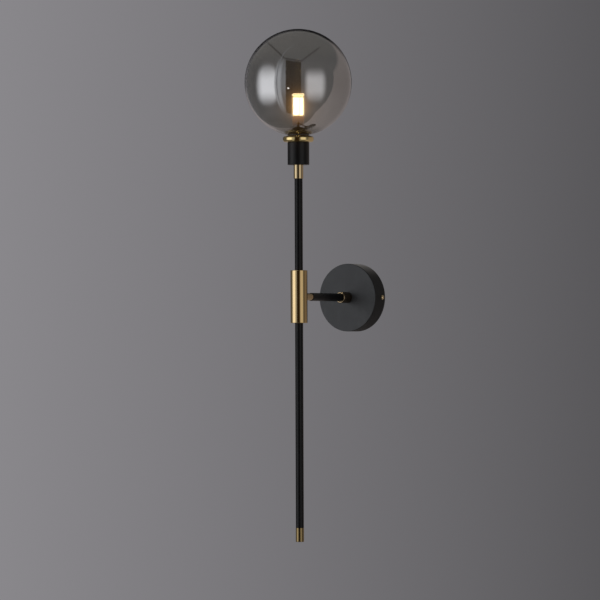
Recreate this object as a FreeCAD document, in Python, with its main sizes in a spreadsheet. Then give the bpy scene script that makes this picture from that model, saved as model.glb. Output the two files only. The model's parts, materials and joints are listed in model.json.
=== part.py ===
import FreeCAD, Part
import Sketcher
import math
import os
from FreeCAD import Placement, Rotation, Vector

# Globe wall sconce.
# Frame: the wall is the plane y = 0 and the light stands out of it towards -Y; +Z is up; the origin is
# the centre of the canopy's back on the wall. All sizes are millimetres.

doc = FreeCAD.newDocument("globe_wall_sconce")
sheet = doc.addObject("Spreadsheet::Sheet", "dims")

# ---------------------------------------------------------------- driving dimensions
SIZES = [
    # wall strap
    ("strap_half", 45.9, "half length of the strap, outside its folded ends"),
    ("strap_width", 24.0, "strap height"),
    ("strap_gauge", 1.5, "pressed steel thickness"),
    ("tab_width", 14.0, "width of a folded end"),
    ("tab_reach", 12.5, "how far a folded end stands off the wall"),
    ("tongue_half", 15.0, "half width of the tongue that carries the terminals"),
    ("tongue_drop", 36.5, "lowest point of the tongue"),
    ("slot_pitch", 60.0, "wall screw spacing"),
    ("slot_long", 12.0, "wall slot, end to end"),
    ("slot_rad", 2.5, "half the slot's width"),
    ("cable_rad", 5.5, "hole for the supply cable"),
    ("earth_x", 18.0, "earth screw across"),
    ("earth_z", 5.5, "earth screw height"),
    # canopy
    ("canopy_rad", 48.1, "canopy outer radius"),
    ("canopy_depth", 24.5, "canopy depth"),
    ("canopy_gauge", 1.2, "spun steel thickness"),
    ("canopy_round", 0.9, "front edge rounding"),
    ("side_screw_y", 7.5, "side screw distance from the wall"),
    ("side_screw_rad", 1.95, "side screw shank"),
    ("side_head_rad", 3.2, "side screw head"),
    ("side_head_high", 2.5, "side screw head height"),
    ("side_hole_rad", 2.2, "side hole in the canopy"),
    # nipples, nuts
    ("nip_rad", 3.95, "hollow threaded tube, outside"),
    ("nip_bore", 2.7, "hollow threaded tube, inside"),
    ("thread_hole", 4.0, "hole that takes the threaded tube"),
    ("nut_flat", 12.0, "lock nut across flats"),
    ("nut_high", 3.0, "lock nut height"),
    ("wash_rad", 6.6, "lock washer outside"),
    ("wash_gauge", 0.7, "lock washer thickness"),
    # arm
    ("collar_rad", 7.8, "arm collar"),
    ("collar_end", 43.0, "front face of the collar, from the wall"),
    ("collar_mouth", 6.5, "recess in the collar's front"),
    ("collar_mouth_deep", 2.6, "depth of that recess"),
    ("tube_rad", 5.65, "black tube, outside"),
    ("tube_bore", 4.0, "black tube, inside"),
    ("socket_rad", 5.7, "socket that takes a black tube"),
    ("arm_tube_back", 36.0, "wall end of the arm tube"),
    ("arm_tube_front", 116.5, "outer end of the arm tube"),
    ("stub_rad", 5.0, "brass stub between arm tube and sleeve"),
    ("pole_off", 145.0, "pole axis from the wall"),
    # pole
    ("sleeve_rad", 11.85, "centre sleeve"),
    ("sleeve_half", 36.9, "half the sleeve's height"),
    ("socket_deep", 14.0, "depth of a rod socket in the sleeve"),
    ("tip_bottom", -342.9, "bottom of the brass tip"),
    ("tip_top", -323.3, "top of the brass tip"),
    ("tip_rad", 5.75, "brass tip"),
    ("stem_rad", 6.7, "brass stem under the cup"),
    ("stem_low", 165.2, "bottom of the brass stem"),
    ("stem_socket", 6.0, "rod socket in the stem"),
    ("cup_low", 184.6, "bottom of the cup"),
    ("cup_high", 215.8, "top of the cup"),
    ("cup_rad", 15.2, "cup outside"),
    ("cup_gauge", 1.2, "cup wall"),
    ("cup_floor", 1.5, "cup floor"),
    # gallery and lampholder
    ("gal_rad", 21.5, "gallery ring outside"),
    ("gal_bore", 9.8, "gallery ring hole"),
    ("gal_seat", 225.6, "seat for the gasket"),
    ("gal_well", 13.4, "well inside the gallery ring"),
    ("gal_plate", 2.0, "floor of the gallery ring"),
    ("shell_rad", 9.65, "threaded shell outside"),
    ("shell_bore", 8.3, "threaded shell inside"),
    ("shell_low", 204.8, "bottom of the shell's flange"),
    ("shell_top", 237.0, "top of the threaded shell"),
    ("shell_flange", 13.0, "flange of the shell"),
    ("holder_rad", 8.2, "ceramic lampholder"),
    ("holder_low", 213.0, "bottom of the ceramic"),
    ("holder_top", 238.7, "top of the ceramic"),
    ("pin_pitch", 9.0, "distance between the two pins"),
    # globe
    ("globe_rad", 75.0, "globe outside radius"),
    ("globe_gauge", 2.2, "glass thickness"),
    ("globe_z", 300.0, "globe centre"),
    ("globe_foot", 226.6, "ground face round the globe's mouth"),
    ("neck_bore", 10.0, "bore of the inward neck"),
    ("neck_rad", 12.2, "outside of the inward neck"),
    ("neck_top", 238.4, "top of the inward neck"),
    ("gasket_in", 11.0, "gasket inside"),
    ("gasket_out", 14.6, "gasket outside"),
    ("gasket_low", 225.7, "gasket underside"),
    ("gasket_high", 226.5, "gasket top"),
    # bulb
    ("bulb_low", 239.2, "underside of the bulb's base"),
    ("bulb_step", 250.4, "shoulder where the clear cover starts"),
    ("bulb_rad", 9.0, "bulb outside"),
    ("base_rad", 8.1, "narrower lower part of the bulb's base"),
    ("bulb_gauge", 0.8, "cover wall"),
    ("bulb_top", 284.4, "top of the bulb"),
    ("core_half", 4.95, "half width of the square core"),
    ("core_top", 280.4, "top of the core"),
    ("pin_long", 12.3, "pin length"),
    ("pin_wire", 0.45, "pin wire radius"),
    # wiring
    ("wire_rad", 1.0, "insulated conductor"),
    ("wire_gap", 1.25, "conductor offset from the tube's axis"),
    ("wire_bend", 6.0, "bend radius inside the sleeve"),
]


class Q:
    """A number together with the spreadsheet expression that gives it."""

    def __init__(self, number, text):
        self.n = float(number)
        self.t = text

    @staticmethod
    def of(other):
        return other if isinstance(other, Q) else Q(other, repr(float(other)))

    def __add__(self, other):
        o = Q.of(other)
        return Q(self.n + o.n, "(%s + %s)" % (self.t, o.t))

    __radd__ = __add__

    def __sub__(self, other):
        o = Q.of(other)
        return Q(self.n - o.n, "(%s - %s)" % (self.t, o.t))

    def __rsub__(self, other):
        return Q.of(other) - self

    def __mul__(self, other):
        o = Q.of(other)
        return Q(self.n * o.n, "(%s * %s)" % (self.t, o.t))

    __rmul__ = __mul__

    def __truediv__(self, other):
        o = Q.of(other)
        return Q(self.n / o.n, "(%s / %s)" % (self.t, o.t))

    def __neg__(self):
        return Q(-self.n, "(0 - %s)" % self.t)


class Sizes:
    pass


d = Sizes()
for row, (alias, number, note) in enumerate(SIZES, start=1):
    sheet.set("A%d" % row, alias)
    sheet.set("B%d" % row, repr(float(number)))
    sheet.set("C%d" % row, note)
    sheet.setAlias("B%d" % row, alias)
    setattr(d, alias, Q(number, "dims." + alias))
doc.recompute()

KEPT = []


def keep(obj, label):
    """Give a finished sub-part its label and put it on the export list."""
    obj.Label = label
    KEPT.append(obj)
    return obj


def bind(obj, prop, q):
    """Bind one property of an object to the sheet."""
    obj.setExpression(prop, Q.of(q).t)


def origin_plane(body, role):
    return [f for f in body.Origin.OriginFeatures if f.Role == role][0]


def new_body(name, x=0.0, y=0.0, z=0.0):
    """A body whose place in the light is bound to the sheet."""
    body = doc.addObject("PartDesign::Body", name + "_body")
    body.Placement = Placement(Vector(Q.of(x).n, Q.of(y).n, Q.of(z).n), Rotation())
    bind(body, "Placement.Base.x", x)
    bind(body, "Placement.Base.y", y)
    bind(body, "Placement.Base.z", z)
    return body


def new_sketch(body, name, role):
    sk = body.newObject("Sketcher::SketchObject", name)
    sk.AttachmentSupport = [(origin_plane(body, role), "")]
    sk.MapMode = "FlatFace"
    return sk


def pin_point(sk, geo, pos, x, y, use="xy"):
    """Fix a sketch point at bound coordinates; a zero coordinate lies on the axis."""
    x, y = Q.of(x), Q.of(y)
    if "x" in use:
        if abs(x.n) < 1e-9:
            sk.addConstraint(Sketcher.Constraint("PointOnObject", geo, pos, -2))
        else:
            k = sk.addConstraint(Sketcher.Constraint("DistanceX", geo, pos, x.n))
            sk.setExpression("Constraints[%d]" % k, x.t)
    if "y" in use:
        if abs(y.n) < 1e-9:
            sk.addConstraint(Sketcher.Constraint("PointOnObject", geo, pos, -1))
        else:
            k = sk.addConstraint(Sketcher.Constraint("DistanceY", geo, pos, y.n))
            sk.setExpression("Constraints[%d]" % k, y.t)


def polygon(sk, points):
    """A closed outline of straight lines with every corner bound."""
    first = len(sk.Geometry)
    n = len(points)
    lines = []
    for i in range(n):
        a, b = points[i], points[(i + 1) % n]
        lines.append(Part.LineSegment(Vector(Q.of(a[0]).n, Q.of(a[1]).n, 0),
                                      Vector(Q.of(b[0]).n, Q.of(b[1]).n, 0)))
    sk.addGeometry(lines, False)
    for i in range(n):
        sk.addConstraint(Sketcher.Constraint("Coincident", first + i, 2, first + (i + 1) % n, 1))
    for i in range(n):
        pin_point(sk, first + i, 1, points[i][0], points[i][1])


def circle(sk, x, y, r):
    """A bound circle."""
    r = Q.of(r)
    g = sk.addGeometry(Part.Circle(Vector(Q.of(x).n, Q.of(y).n, 0), Vector(0, 0, 1), r.n), False)
    pin_point(sk, g, 3, x, y)
    k = sk.addConstraint(Sketcher.Constraint("Radius", g, r.n))
    sk.setExpression("Constraints[%d]" % k, r.t)


def slot(sk, x, y, length, r):
    """A bound round-ended slot along the sketch's first axis."""
    x, y, length, r = Q.of(x), Q.of(y), Q.of(length), Q.of(r)
    half = length / 2.0 - r
    a, b = x.n - half.n, x.n + half.n
    g = len(sk.Geometry)
    sk.addGeometry([
        Part.LineSegment(Vector(a, y.n + r.n, 0), Vector(b, y.n + r.n, 0)),
        Part.ArcOfCircle(Part.Circle(Vector(b, y.n, 0), Vector(0, 0, 1), r.n), -math.pi / 2, math.pi / 2),
        Part.LineSegment(Vector(b, y.n - r.n, 0), Vector(a, y.n - r.n, 0)),
        Part.ArcOfCircle(Part.Circle(Vector(a, y.n, 0), Vector(0, 0, 1), r.n), math.pi / 2, 3 * math.pi / 2),
    ], False)
    sk.addConstraint(Sketcher.Constraint("Tangent", g, 2, g + 1, 2))
    sk.addConstraint(Sketcher.Constraint("Tangent", g + 1, 1, g + 2, 1))
    sk.addConstraint(Sketcher.Constraint("Tangent", g + 2, 2, g + 3, 2))
    sk.addConstraint(Sketcher.Constraint("Tangent", g + 3, 1, g, 1))
    pin_point(sk, g + 1, 3, x + half, y)
    pin_point(sk, g + 3, 3, x - half, y, "x")
    k = sk.addConstraint(Sketcher.Constraint("Radius", g + 1, r.n))
    sk.setExpression("Constraints[%d]" % k, r.t)


def turned(name, role, points, axis="V_Axis", x=0.0, y=0.0, z=0.0):
    """A turned piece: a bound outline swept once round a sketch axis."""
    body = new_body(name, x, y, z)
    sk = new_sketch(body, name + "_outline", role)
    polygon(sk, points)
    doc.recompute()
    rev = body.newObject("PartDesign::Revolution", name + "_turn")
    rev.Profile = sk
    rev.ReferenceAxis = (sk, [axis])
    rev.Angle = 360
    body.Tip = rev
    doc.recompute()
    return body


def pole_part(name, points):
    """A piece turned about the pole's axis; the outline's heights are those of the light."""
    return turned(name, "XZ_Plane", points, "V_Axis", 0.0, -d.pole_off, 0.0)


def arm_part(name, points):
    """A piece turned about the arm's axis; the outline's second value is y."""
    return turned(name, "XY_Plane", points, "V_Axis")


def edges_at(body, test):
    """Names of the tip's circular or straight edges that a test picks, in the body's own frame."""
    names = []
    for i, e in enumerate(body.Tip.Shape.Edges, start=1):
        if not e.Degenerated and test(e):
            names.append("Edge%d" % i)
    return names


def ring_edges(body, radius, height, axis="z"):
    """Names of circular edges of a radius at a height along the turning axis."""
    radius, height = Q.of(radius).n, Q.of(height).n

    def test(e):
        c = e.Curve
        if not isinstance(c, Part.Circle):
            return False
        at = c.Center.z if axis == "z" else c.Center.y
        return abs(c.Radius - radius) < 1e-4 and abs(at - height) < 1e-4

    return edges_at(body, test)


def round_edges(body, names, size):
    if not names:
        raise SystemExit("no edge to round on " + body.Name)
    base = body.Tip
    f = body.newObject("PartDesign::Fillet", body.Name + "_round")
    f.Base = (base, names)
    f.Radius = Q.of(size).n
    bind(f, "Radius", size)
    body.Tip = f
    doc.recompute()
    return f


def bevel_edges(body, names, size):
    if not names:
        raise SystemExit("no edge to bevel on " + body.Name)
    base = body.Tip
    f = body.newObject("PartDesign::Chamfer", body.Name + "_bevel")
    f.Base = (base, names)
    f.Size = Q.of(size).n
    bind(f, "Size", size)
    body.Tip = f
    doc.recompute()
    return f


def pad(body, sk, length, reverse=False, name="pad"):
    f = body.newObject("PartDesign::Pad", body.Name + "_" + name)
    f.Profile = sk
    f.Length = Q.of(length).n
    bind(f, "Length", length)
    f.Reversed = reverse
    body.Tip = f
    doc.recompute()
    return f


def cut_through(body, sk, name="holes"):
    """Pocket a sketch through the whole piece, both ways, and make sure that it cut something."""
    before = body.Shape.Volume
    f = body.newObject("PartDesign::Pocket", body.Name + "_" + name)
    f.Profile = sk
    f.Type = "ThroughAll"
    f.Midplane = True
    body.Tip = f
    doc.recompute()
    if not body.Shape.Volume < before - 1e-3:
        raise SystemExit("pocket cut nothing on " + body.Name)
    return f


def cut_blind(body, sk, depth, reverse=False, name="pocket"):
    """Pocket a sketch to a bound depth and make sure that it cut something."""
    before = body.Shape.Volume
    f = body.newObject("PartDesign::Pocket", body.Name + "_" + name)
    f.Profile = sk
    f.Type = "Length"
    f.Length = Q.of(depth).n
    bind(f, "Length", depth)
    f.Reversed = reverse
    body.Tip = f
    doc.recompute()
    if not body.Shape.Volume < before - 1e-3:
        raise SystemExit("pocket cut nothing on " + body.Name)
    return f


def box(name, x, y, z, dx, dy, dz):
    """A bound block from its lowest corner."""
    b = doc.addObject("Part::Box", name)
    for prop, q in (("Length", dx), ("Width", dy), ("Height", dz),
                    ("Placement.Base.x", x), ("Placement.Base.y", y), ("Placement.Base.z", z)):
        bind(b, prop, q)
    return b


def cylinder(name, x, y, z, r, length, along="z"):
    """A bound cylinder that starts at a point and runs along +Z, +X or -Y."""
    c = doc.addObject("Part::Cylinder", name)
    turn = {"z": Rotation(), "x": Rotation(Vector(0, 1, 0), 90), "y": Rotation(Vector(1, 0, 0), 90)}[along]
    c.Placement = Placement(Vector(Q.of(x).n, Q.of(y).n, Q.of(z).n), turn)
    for prop, q in (("Radius", r), ("Height", length),
                    ("Placement.Base.x", x), ("Placement.Base.y", y), ("Placement.Base.z", z)):
        bind(c, prop, q)
    return c


def fuse(name, parts):
    f = doc.addObject("Part::MultiFuse", name)
    f.Shapes = parts
    return f


def cut(name, base, tool):
    f = doc.addObject("Part::Cut", name)
    f.Base = base
    f.Tool = tool
    return f


def group(name, parts):
    """Several separate solids of one kind."""
    f = doc.addObject("Part::Compound", name)
    f.Links = parts
    return f


# ================================================================ wall strap
strap = new_body("wall_bracket")
# the strip with its two folded ends, in plan
sk = new_sketch(strap, "strip_plan", "XY_Plane")
inner = d.strap_half - d.strap_gauge
polygon(sk, [(-d.strap_half, 0.0), (d.strap_half, 0.0), (d.strap_half, -d.tab_reach), (inner, -d.tab_reach),
             (inner, -d.strap_gauge), (-inner, -d.strap_gauge), (-inner, -d.tab_reach),
             (-d.strap_half, -d.tab_reach)])
doc.recompute()
f = strap.newObject("PartDesign::Pad", "strip")
f.Profile = sk
f.Length = d.tab_width.n
bind(f, "Length", d.tab_width)
f.Midplane = True
strap.Tip = f
doc.recompute()
folds = edges_at(strap, lambda e: isinstance(e.Curve, Part.Line) and abs(e.Length - d.tab_width.n) < 1e-4
                 and abs(e.Vertexes[0].Point.y) < 1e-4 and abs(e.Vertexes[-1].Point.y) < 1e-4
                 and abs(e.Vertexes[0].Point.x - e.Vertexes[-1].Point.x) < 1e-4)
round_edges(strap, folds, d.strap_gauge + 0.5)
sk = new_sketch(strap, "strap_outline", "XZ_Plane")
hw = d.strap_width / 2.0
end = d.strap_half - 3.0
polygon(sk, [(-end, -hw), (-d.tongue_half, -hw), (-d.tongue_half, -d.tongue_drop),
             (d.tongue_half, -d.tongue_drop), (d.tongue_half, -hw), (end, -hw),
             (end, hw), (-end, hw)])
doc.recompute()
pad(strap, sk, d.strap_gauge, name="plate")
# corners of the strap and of the tongue
corners = edges_at(strap, lambda e: isinstance(e.Curve, Part.Line)
                   and abs(e.Length - d.strap_gauge.n) < 1e-4
                   and abs(e.Vertexes[0].Point.x - e.Vertexes[-1].Point.x) < 1e-6
                   and abs(e.Vertexes[0].Point.z + d.tongue_drop.n) < 1e-4)
round_edges(strap, corners, 2.0)
sk = new_sketch(strap, "strap_holes", "XZ_Plane")
slot(sk, d.slot_pitch / 2.0, 0.0, d.slot_long, d.slot_rad)
slot(sk, -d.slot_pitch / 2.0, 0.0, d.slot_long, d.slot_rad)
circle(sk, 0.0, 0.0, d.cable_rad)
circle(sk, d.earth_x, d.earth_z, d.side_screw_rad + 0.1)
circle(sk, 4.75, -26.0, 1.6)
doc.recompute()
cut_through(strap, sk, "slots")
sk = new_sketch(strap, "tab_holes", "YZ_Plane")
circle(sk, -d.side_screw_y, 0.0, d.side_screw_rad + 0.1)
doc.recompute()
cut_through(strap, sk, "tab_holes")
keep(strap, "wall_bracket")

# ================================================================ canopy
r0 = d.thread_hole + 0.1
canopy = arm_part("canopy", [
    (r0, -d.canopy_depth), (d.canopy_rad, -d.canopy_depth), (d.canopy_rad, 0.0),
    (d.canopy_rad - d.canopy_gauge, 0.0),
    (d.canopy_rad - d.canopy_gauge, d.canopy_gauge - d.canopy_depth), (r0, d.canopy_gauge - d.canopy_depth)])
round_edges(canopy, ring_edges(canopy, d.canopy_rad, -d.canopy_depth, "y"), d.canopy_round)
round_edges(canopy, ring_edges(canopy, d.canopy_rad - d.canopy_gauge, d.canopy_gauge - d.canopy_depth, "y"), 0.5)
sk = new_sketch(canopy, "canopy_side_holes", "YZ_Plane")
circle(sk, -d.side_screw_y, 0.0, d.side_hole_rad)
doc.recompute()
cut_through(canopy, sk, "side_holes")
keep(canopy, "canopy_cover")

# two round-head screws at 3 and 9 o'clock, each into a folded end of the strap
screw = new_body("side_screw", d.canopy_rad, -d.side_screw_y, 0.0)
sk = new_sketch(screw, "side_screw_outline", "XY_Plane")
polygon(sk, [(-7.0, 0.0), (d.side_head_high, 0.0), (d.side_head_high, 1.3), (d.side_head_high - 0.75, 2.5),
             (0.8, d.side_head_rad), (0.0, d.side_head_rad), (0.0, d.side_screw_rad), (-6.5, d.side_screw_rad),
             (-7.0, d.side_screw_rad - 0.5)])
doc.recompute()
rev = screw.newObject("PartDesign::Revolution", "side_screw_turn")
rev.Profile = sk
rev.ReferenceAxis = (sk, ["H_Axis"])
rev.Angle = 360
screw.Tip = rev
doc.recompute()
sk = new_sketch(screw, "side_screw_cross", "YZ_Plane")
polygon(sk, [(0.4, 0.4), (0.4, 1.7), (-0.4, 1.7), (-0.4, 0.4), (-1.7, 0.4), (-1.7, -0.4),
             (-0.4, -0.4), (-0.4, -1.7), (0.4, -1.7), (0.4, -0.4), (1.7, -0.4), (1.7, 0.4)])
sk.AttachmentOffset = Placement(Vector(0, 0, d.side_head_high.n), Rotation())
sk.setExpression("AttachmentOffset.Base.z", "dims.side_head_high")
doc.recompute()
cut_blind(screw, sk, 1.3, name="cross")
other = doc.addObject("Part::Mirroring", "side_screw_other")
other.Source = screw
other.Base = Vector(0, 0, 0)
other.Normal = Vector(1, 0, 0)
keep(group("side_screw_pair", [screw, other]), "canopy_side_screws")

# ================================================================ earth point
earth = turned("earth_screw", "XY_Plane", [
    (0.0, -5.3), (2.3, -5.3), (3.4, -4.6), (3.4, -3.0), (d.side_screw_rad, -3.0), (d.side_screw_rad, -0.5),
    (d.side_screw_rad - 0.3, -0.2), (0.0, -0.2)], x=d.earth_x, z=d.earth_z)
sk = new_sketch(earth, "earth_screw_slot", "XY_Plane")
polygon(sk, [(-0.45, -5.6), (0.45, -5.6), (0.45, -4.3), (-0.45, -4.3)])
doc.recompute()
cut_through(earth, sk, "slot")
keep(earth, "earth_screw")

washer = turned("earth_washer", "XY_Plane", [
    (d.side_screw_rad + 0.15, -2.1), (4.2, -2.1), (4.2, -1.5), (d.side_screw_rad + 0.15, -1.5)],
    x=d.earth_x, z=d.earth_z)
sk = new_sketch(washer, "earth_washer_notch", "XZ_Plane")
polygon(sk, [(3.4, -0.35), (4.8, -0.35), (4.8, 0.35), (3.4, 0.35)])
doc.recompute()
notch = cut_through(washer, sk, "notch")
pol = washer.newObject("PartDesign::PolarPattern", "earth_washer_teeth")
pol.Originals = [notch]
pol.Axis = (origin_plane(washer, "Y_Axis"), [""])
pol.Angle = 360
pol.Occurrences = 8
washer.Tip = pol
doc.recompute()
keep(washer, "earth_washer")

lug_ring = cut("earth_lug_ring",
               cylinder("earth_lug_disc", d.earth_x, -2.15, d.earth_z, 4.0, 0.75, "y"),
               cylinder("earth_lug_eye", d.earth_x, -2.0, d.earth_z, d.side_screw_rad + 0.1, 1.2, "y"))
lug_tail = box("earth_lug_tail", d.earth_x - 1.3, -2.9, -1.2, 2.6, 0.75, 3.2)
lug_crimp = cut("earth_lug_crimp",
                cylinder("earth_lug_barrel", d.earth_x, -4.35, -6.4, 1.75, 5.4),
                cylinder("earth_lug_bore", d.earth_x, -4.35, -7.0, 1.1, 4.8))
keep(fuse("earth_lug_fused", [lug_ring, lug_tail, lug_crimp]), "earth_lug")

# ================================================================ terminals
block = new_body("terminal_block")
sk = new_sketch(block, "block_outline", "XZ_Plane")
polygon(sk, [(-14.6, -34.0), (14.6, -34.0), (14.6, -18.0), (-14.6, -18.0)])
sk.AttachmentOffset = Placement(Vector(0, 0, 1.6), Rotation())
doc.recompute()
pad(block, sk, 12.0, name="brick")
front = edges_at(block, lambda e: all(abs(v.Point.y + 13.6) < 1e-4 for v in e.Vertexes))
round_edges(block, front, 1.2)
sk = new_sketch(block, "block_ways", "XY_Plane")
for x in (-9.5, 0.0, 9.5):
    circle(sk, x, -7.6, 2.35)
doc.recompute()
cut_through(block, sk, "ways")
sk = new_sketch(block, "block_screw_holes", "XZ_Plane")
for x in (-9.5, 0.0, 9.5):
    for z in (-30.0, -22.0):
        circle(sk, x, z, 1.75)
sk.AttachmentOffset = Placement(Vector(0, 0, 13.6), Rotation())
doc.recompute()
cut_blind(block, sk, 6.0, name="screw_holes")
sk = new_sketch(block, "block_fixing_hole", "XZ_Plane")
circle(sk, 4.75, -26.0, 1.6)
doc.recompute()
cut_through(block, sk, "fixing_hole")
sk = new_sketch(block, "block_fixing_well", "XZ_Plane")
circle(sk, 4.75, -26.0, 2.3)
sk.AttachmentOffset = Placement(Vector(0, 0, 13.6), Rotation())
doc.recompute()
cut_blind(block, sk, 4.0, name="fixing_well")
keep(block, "terminal_block")

inserts = []
for k, x in enumerate((-9.5, 0.0, 9.5)):
    tube = cut("insert_tube_%d" % k, cylinder("insert_out_%d" % k, x, -7.6, -33.4, 2.3, 14.8),
               cylinder("insert_in_%d" % k, x, -7.6, -34.0, 1.25, 16.0))
    taps = fuse("insert_taps_%d" % k, [cylinder("insert_tap_%d_%d" % (k, j), x, -8.3, z, 1.35, 3.0, "y")
                                       for j, z in enumerate((-30.0, -22.0))])
    inserts.append(cut("insert_%d" % k, tube, taps))
keep(group("insert_group", inserts), "terminal_inserts")

pins = []
for k, x in enumerate((-9.5, 0.0, 9.5)):
    for j, z in enumerate((-30.0, -22.0)):
        stem = cylinder("clamp_%d_%d" % (k, j), x, -8.75, z, 1.25, 3.6, "y")
        groove = box("clamp_groove_%d_%d" % (k, j), x - 1.5, -12.6, z - 0.25, 3.0, 0.9, 0.5)
        pins.append(cut("clamp_screw_%d_%d" % (k, j), stem, groove))
keep(group("clamp_screw_group", pins), "terminal_screws")

fix = turned("terminal_fixing", "XY_Plane", [
    (0.0, -12.0), (1.2, -12.0), (2.1, -11.3), (2.1, -9.6), (1.45, -9.6), (1.45, -0.6), (1.1, -0.2), (0.0, -0.2)],
    x=4.75, z=-26.0)
keep(fix, "terminal_block_screw")


# ================================================================ threaded tubes, nuts and washers
def lock_nut(name, role, at, x, y, z):
    """A hexagonal nut with bevelled corners, from a height along its axis."""
    body = new_body(name, x, y, z)
    sk = new_sketch(body, name + "_hex", role)
    across = d.nut_flat / 2.0
    corner = d.nut_flat / 2.0 * (2.0 / math.sqrt(3.0))
    points = []
    for i in range(6):
        a = math.radians(60 * i)
        points.append((corner * round(math.cos(a), 12), corner * round(math.sin(a), 12)))
    polygon(sk, points)
    circle(sk, 0.0, 0.0, d.thread_hole)
    sk.AttachmentOffset = Placement(Vector(0, 0, Q.of(at).n), Rotation())
    sk.setExpression("AttachmentOffset.Base.z", Q.of(at).t)
    doc.recompute()
    pad(body, sk, d.nut_high, name="hex")
    return body


def toothed_washer(name, role, axis, points, x, y, z):
    body = turned(name, "XY_Plane" if axis == "Y_Axis" else "XZ_Plane", points, "V_Axis", x, y, z)
    sk = new_sketch(body, name + "_notch", role)
    polygon(sk, [(d.wash_rad - 1.1, -0.4), (d.wash_rad + 0.5, -0.4), (d.wash_rad + 0.5, 0.4),
                 (d.wash_rad - 1.1, 0.4)])
    doc.recompute()
    notch = cut_through(body, sk, "notch")
    pol = body.newObject("PartDesign::PolarPattern", name + "_teeth")
    pol.Originals = [notch]
    pol.Axis = (origin_plane(body, axis), [""])
    pol.Angle = 360
    pol.Occurrences = 12
    body.Tip = pol
    doc.recompute()
    return body


inside = d.canopy_depth - d.canopy_gauge
nip = arm_part("canopy_nipple", [(d.nip_bore, -40.0), (d.nip_rad - 0.4, -40.0), (d.nip_rad, -39.6),
                                 (d.nip_rad, -17.9), (d.nip_rad - 0.4, -17.5), (d.nip_bore, -17.5)])
keep(nip, "canopy_nipple")
wash = toothed_washer("canopy_lock_washer", "XZ_Plane", "Y_Axis", [
    (d.thread_hole + 0.1, -inside), (d.wash_rad, -inside), (d.wash_rad, d.wash_gauge - inside),
    (d.thread_hole + 0.1, d.wash_gauge - inside)], 0.0, 0.0, 0.0)
keep(wash, "canopy_lock_washer")
nut = lock_nut("canopy_lock_nut", "XZ_Plane", inside - d.wash_gauge - d.nut_high, 0.0, 0.0, 0.0)
keep(nut, "canopy_lock_nut")

# ================================================================ arm
collar = arm_part("arm_collar", [
    (d.collar_mouth, -d.collar_end), (d.collar_rad, -d.collar_end), (d.collar_rad, -d.canopy_depth),
    (d.thread_hole, -d.canopy_depth), (d.thread_hole, -(d.arm_tube_back - 0.3)),
    (d.socket_rad, -(d.arm_tube_back - 0.3)), (d.socket_rad, d.collar_mouth_deep - d.collar_end),
    (d.collar_mouth, d.collar_mouth_deep - d.collar_end)])
bevel_edges(collar, ring_edges(collar, d.collar_rad, -d.collar_end, "y"), 0.7)
keep(collar, "arm_collar")

tube = arm_part("arm_tube", [
    (d.tube_bore, -d.arm_tube_front), (d.tube_rad, -d.arm_tube_front), (d.tube_rad, -d.arm_tube_back),
    (d.tube_bore, -d.arm_tube_back)])
bevel_edges(tube, ring_edges(tube, d.tube_rad, -d.arm_tube_front, "y"), 0.35)
keep(tube, "arm_tube")

sleeve_face = d.pole_off - d.sleeve_rad
spot = sleeve_face + 1.4
stub = arm_part("arm_stub", [
    (d.nip_bore, -(sleeve_face + 6.0)), (d.nip_rad, -(sleeve_face + 6.0)), (d.nip_rad, -(spot - 0.1)),
    (d.stub_rad, -(spot - 0.1)), (d.stub_rad, -d.arm_tube_front), (d.nip_rad, -d.arm_tube_front),
    (d.nip_rad, -(d.arm_tube_front - 8.0)), (d.nip_bore, -(d.arm_tube_front - 8.0))])
bevel_edges(stub, ring_edges(stub, d.stub_rad, -d.arm_tube_front, "y"), 0.3)
keep(stub, "arm_stub")

# ================================================================ centre sleeve and rods
sleeve = pole_part("centre_sleeve", [
    (d.thread_hole, d.socket_deep - d.sleeve_half), (d.socket_rad, d.socket_deep - d.sleeve_half),
    (d.socket_rad, -d.sleeve_half), (d.sleeve_rad, -d.sleeve_half), (d.sleeve_rad, d.sleeve_half),
    (d.socket_rad, d.sleeve_half), (d.socket_rad, d.sleeve_half - d.socket_deep),
    (d.thread_hole, d.sleeve_half - d.socket_deep)])
bevel_edges(sleeve, ring_edges(sleeve, d.sleeve_rad, d.sleeve_half)
            + ring_edges(sleeve, d.sleeve_rad, -d.sleeve_half), 0.5)
bevel_edges(sleeve, ring_edges(sleeve, d.socket_rad, d.sleeve_half)
            + ring_edges(sleeve, d.socket_rad, -d.sleeve_half), 0.3)
# spot face and cross bore on the wall side
sk = new_sketch(sleeve, "sleeve_cross_bore", "XZ_Plane")
circle(sk, 0.0, 0.0, d.thread_hole)
doc.recompute()
before = sleeve.Shape.Volume
f = sleeve.newObject("PartDesign::Pocket", "sleeve_cross_bore_cut")
f.Profile = sk
f.Type = "ThroughAll"
sleeve.Tip = f
doc.recompute()
if not sleeve.Shape.Volume < before - 1.0:
    raise SystemExit("the cross bore cut nothing")
if sleeve.Shape.isInside(Vector(0, -d.pole_off.n + 8.0, 0), 1e-3, True):
    raise SystemExit("the cross bore is on the wrong side")
sk = new_sketch(sleeve, "sleeve_spot_face", "XZ_Plane")
circle(sk, 0.0, 0.0, d.stub_rad + 0.05)
sk.AttachmentOffset = Placement(Vector(0, 0, -(d.sleeve_rad.n - 1.4)), Rotation())
sk.setExpression("AttachmentOffset.Base.z", "0 - (dims.sleeve_rad - 1.4)")
doc.recompute()
cut_blind(sleeve, sk, 4.0, name="spot_face")
keep(sleeve, "centre_sleeve")

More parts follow.
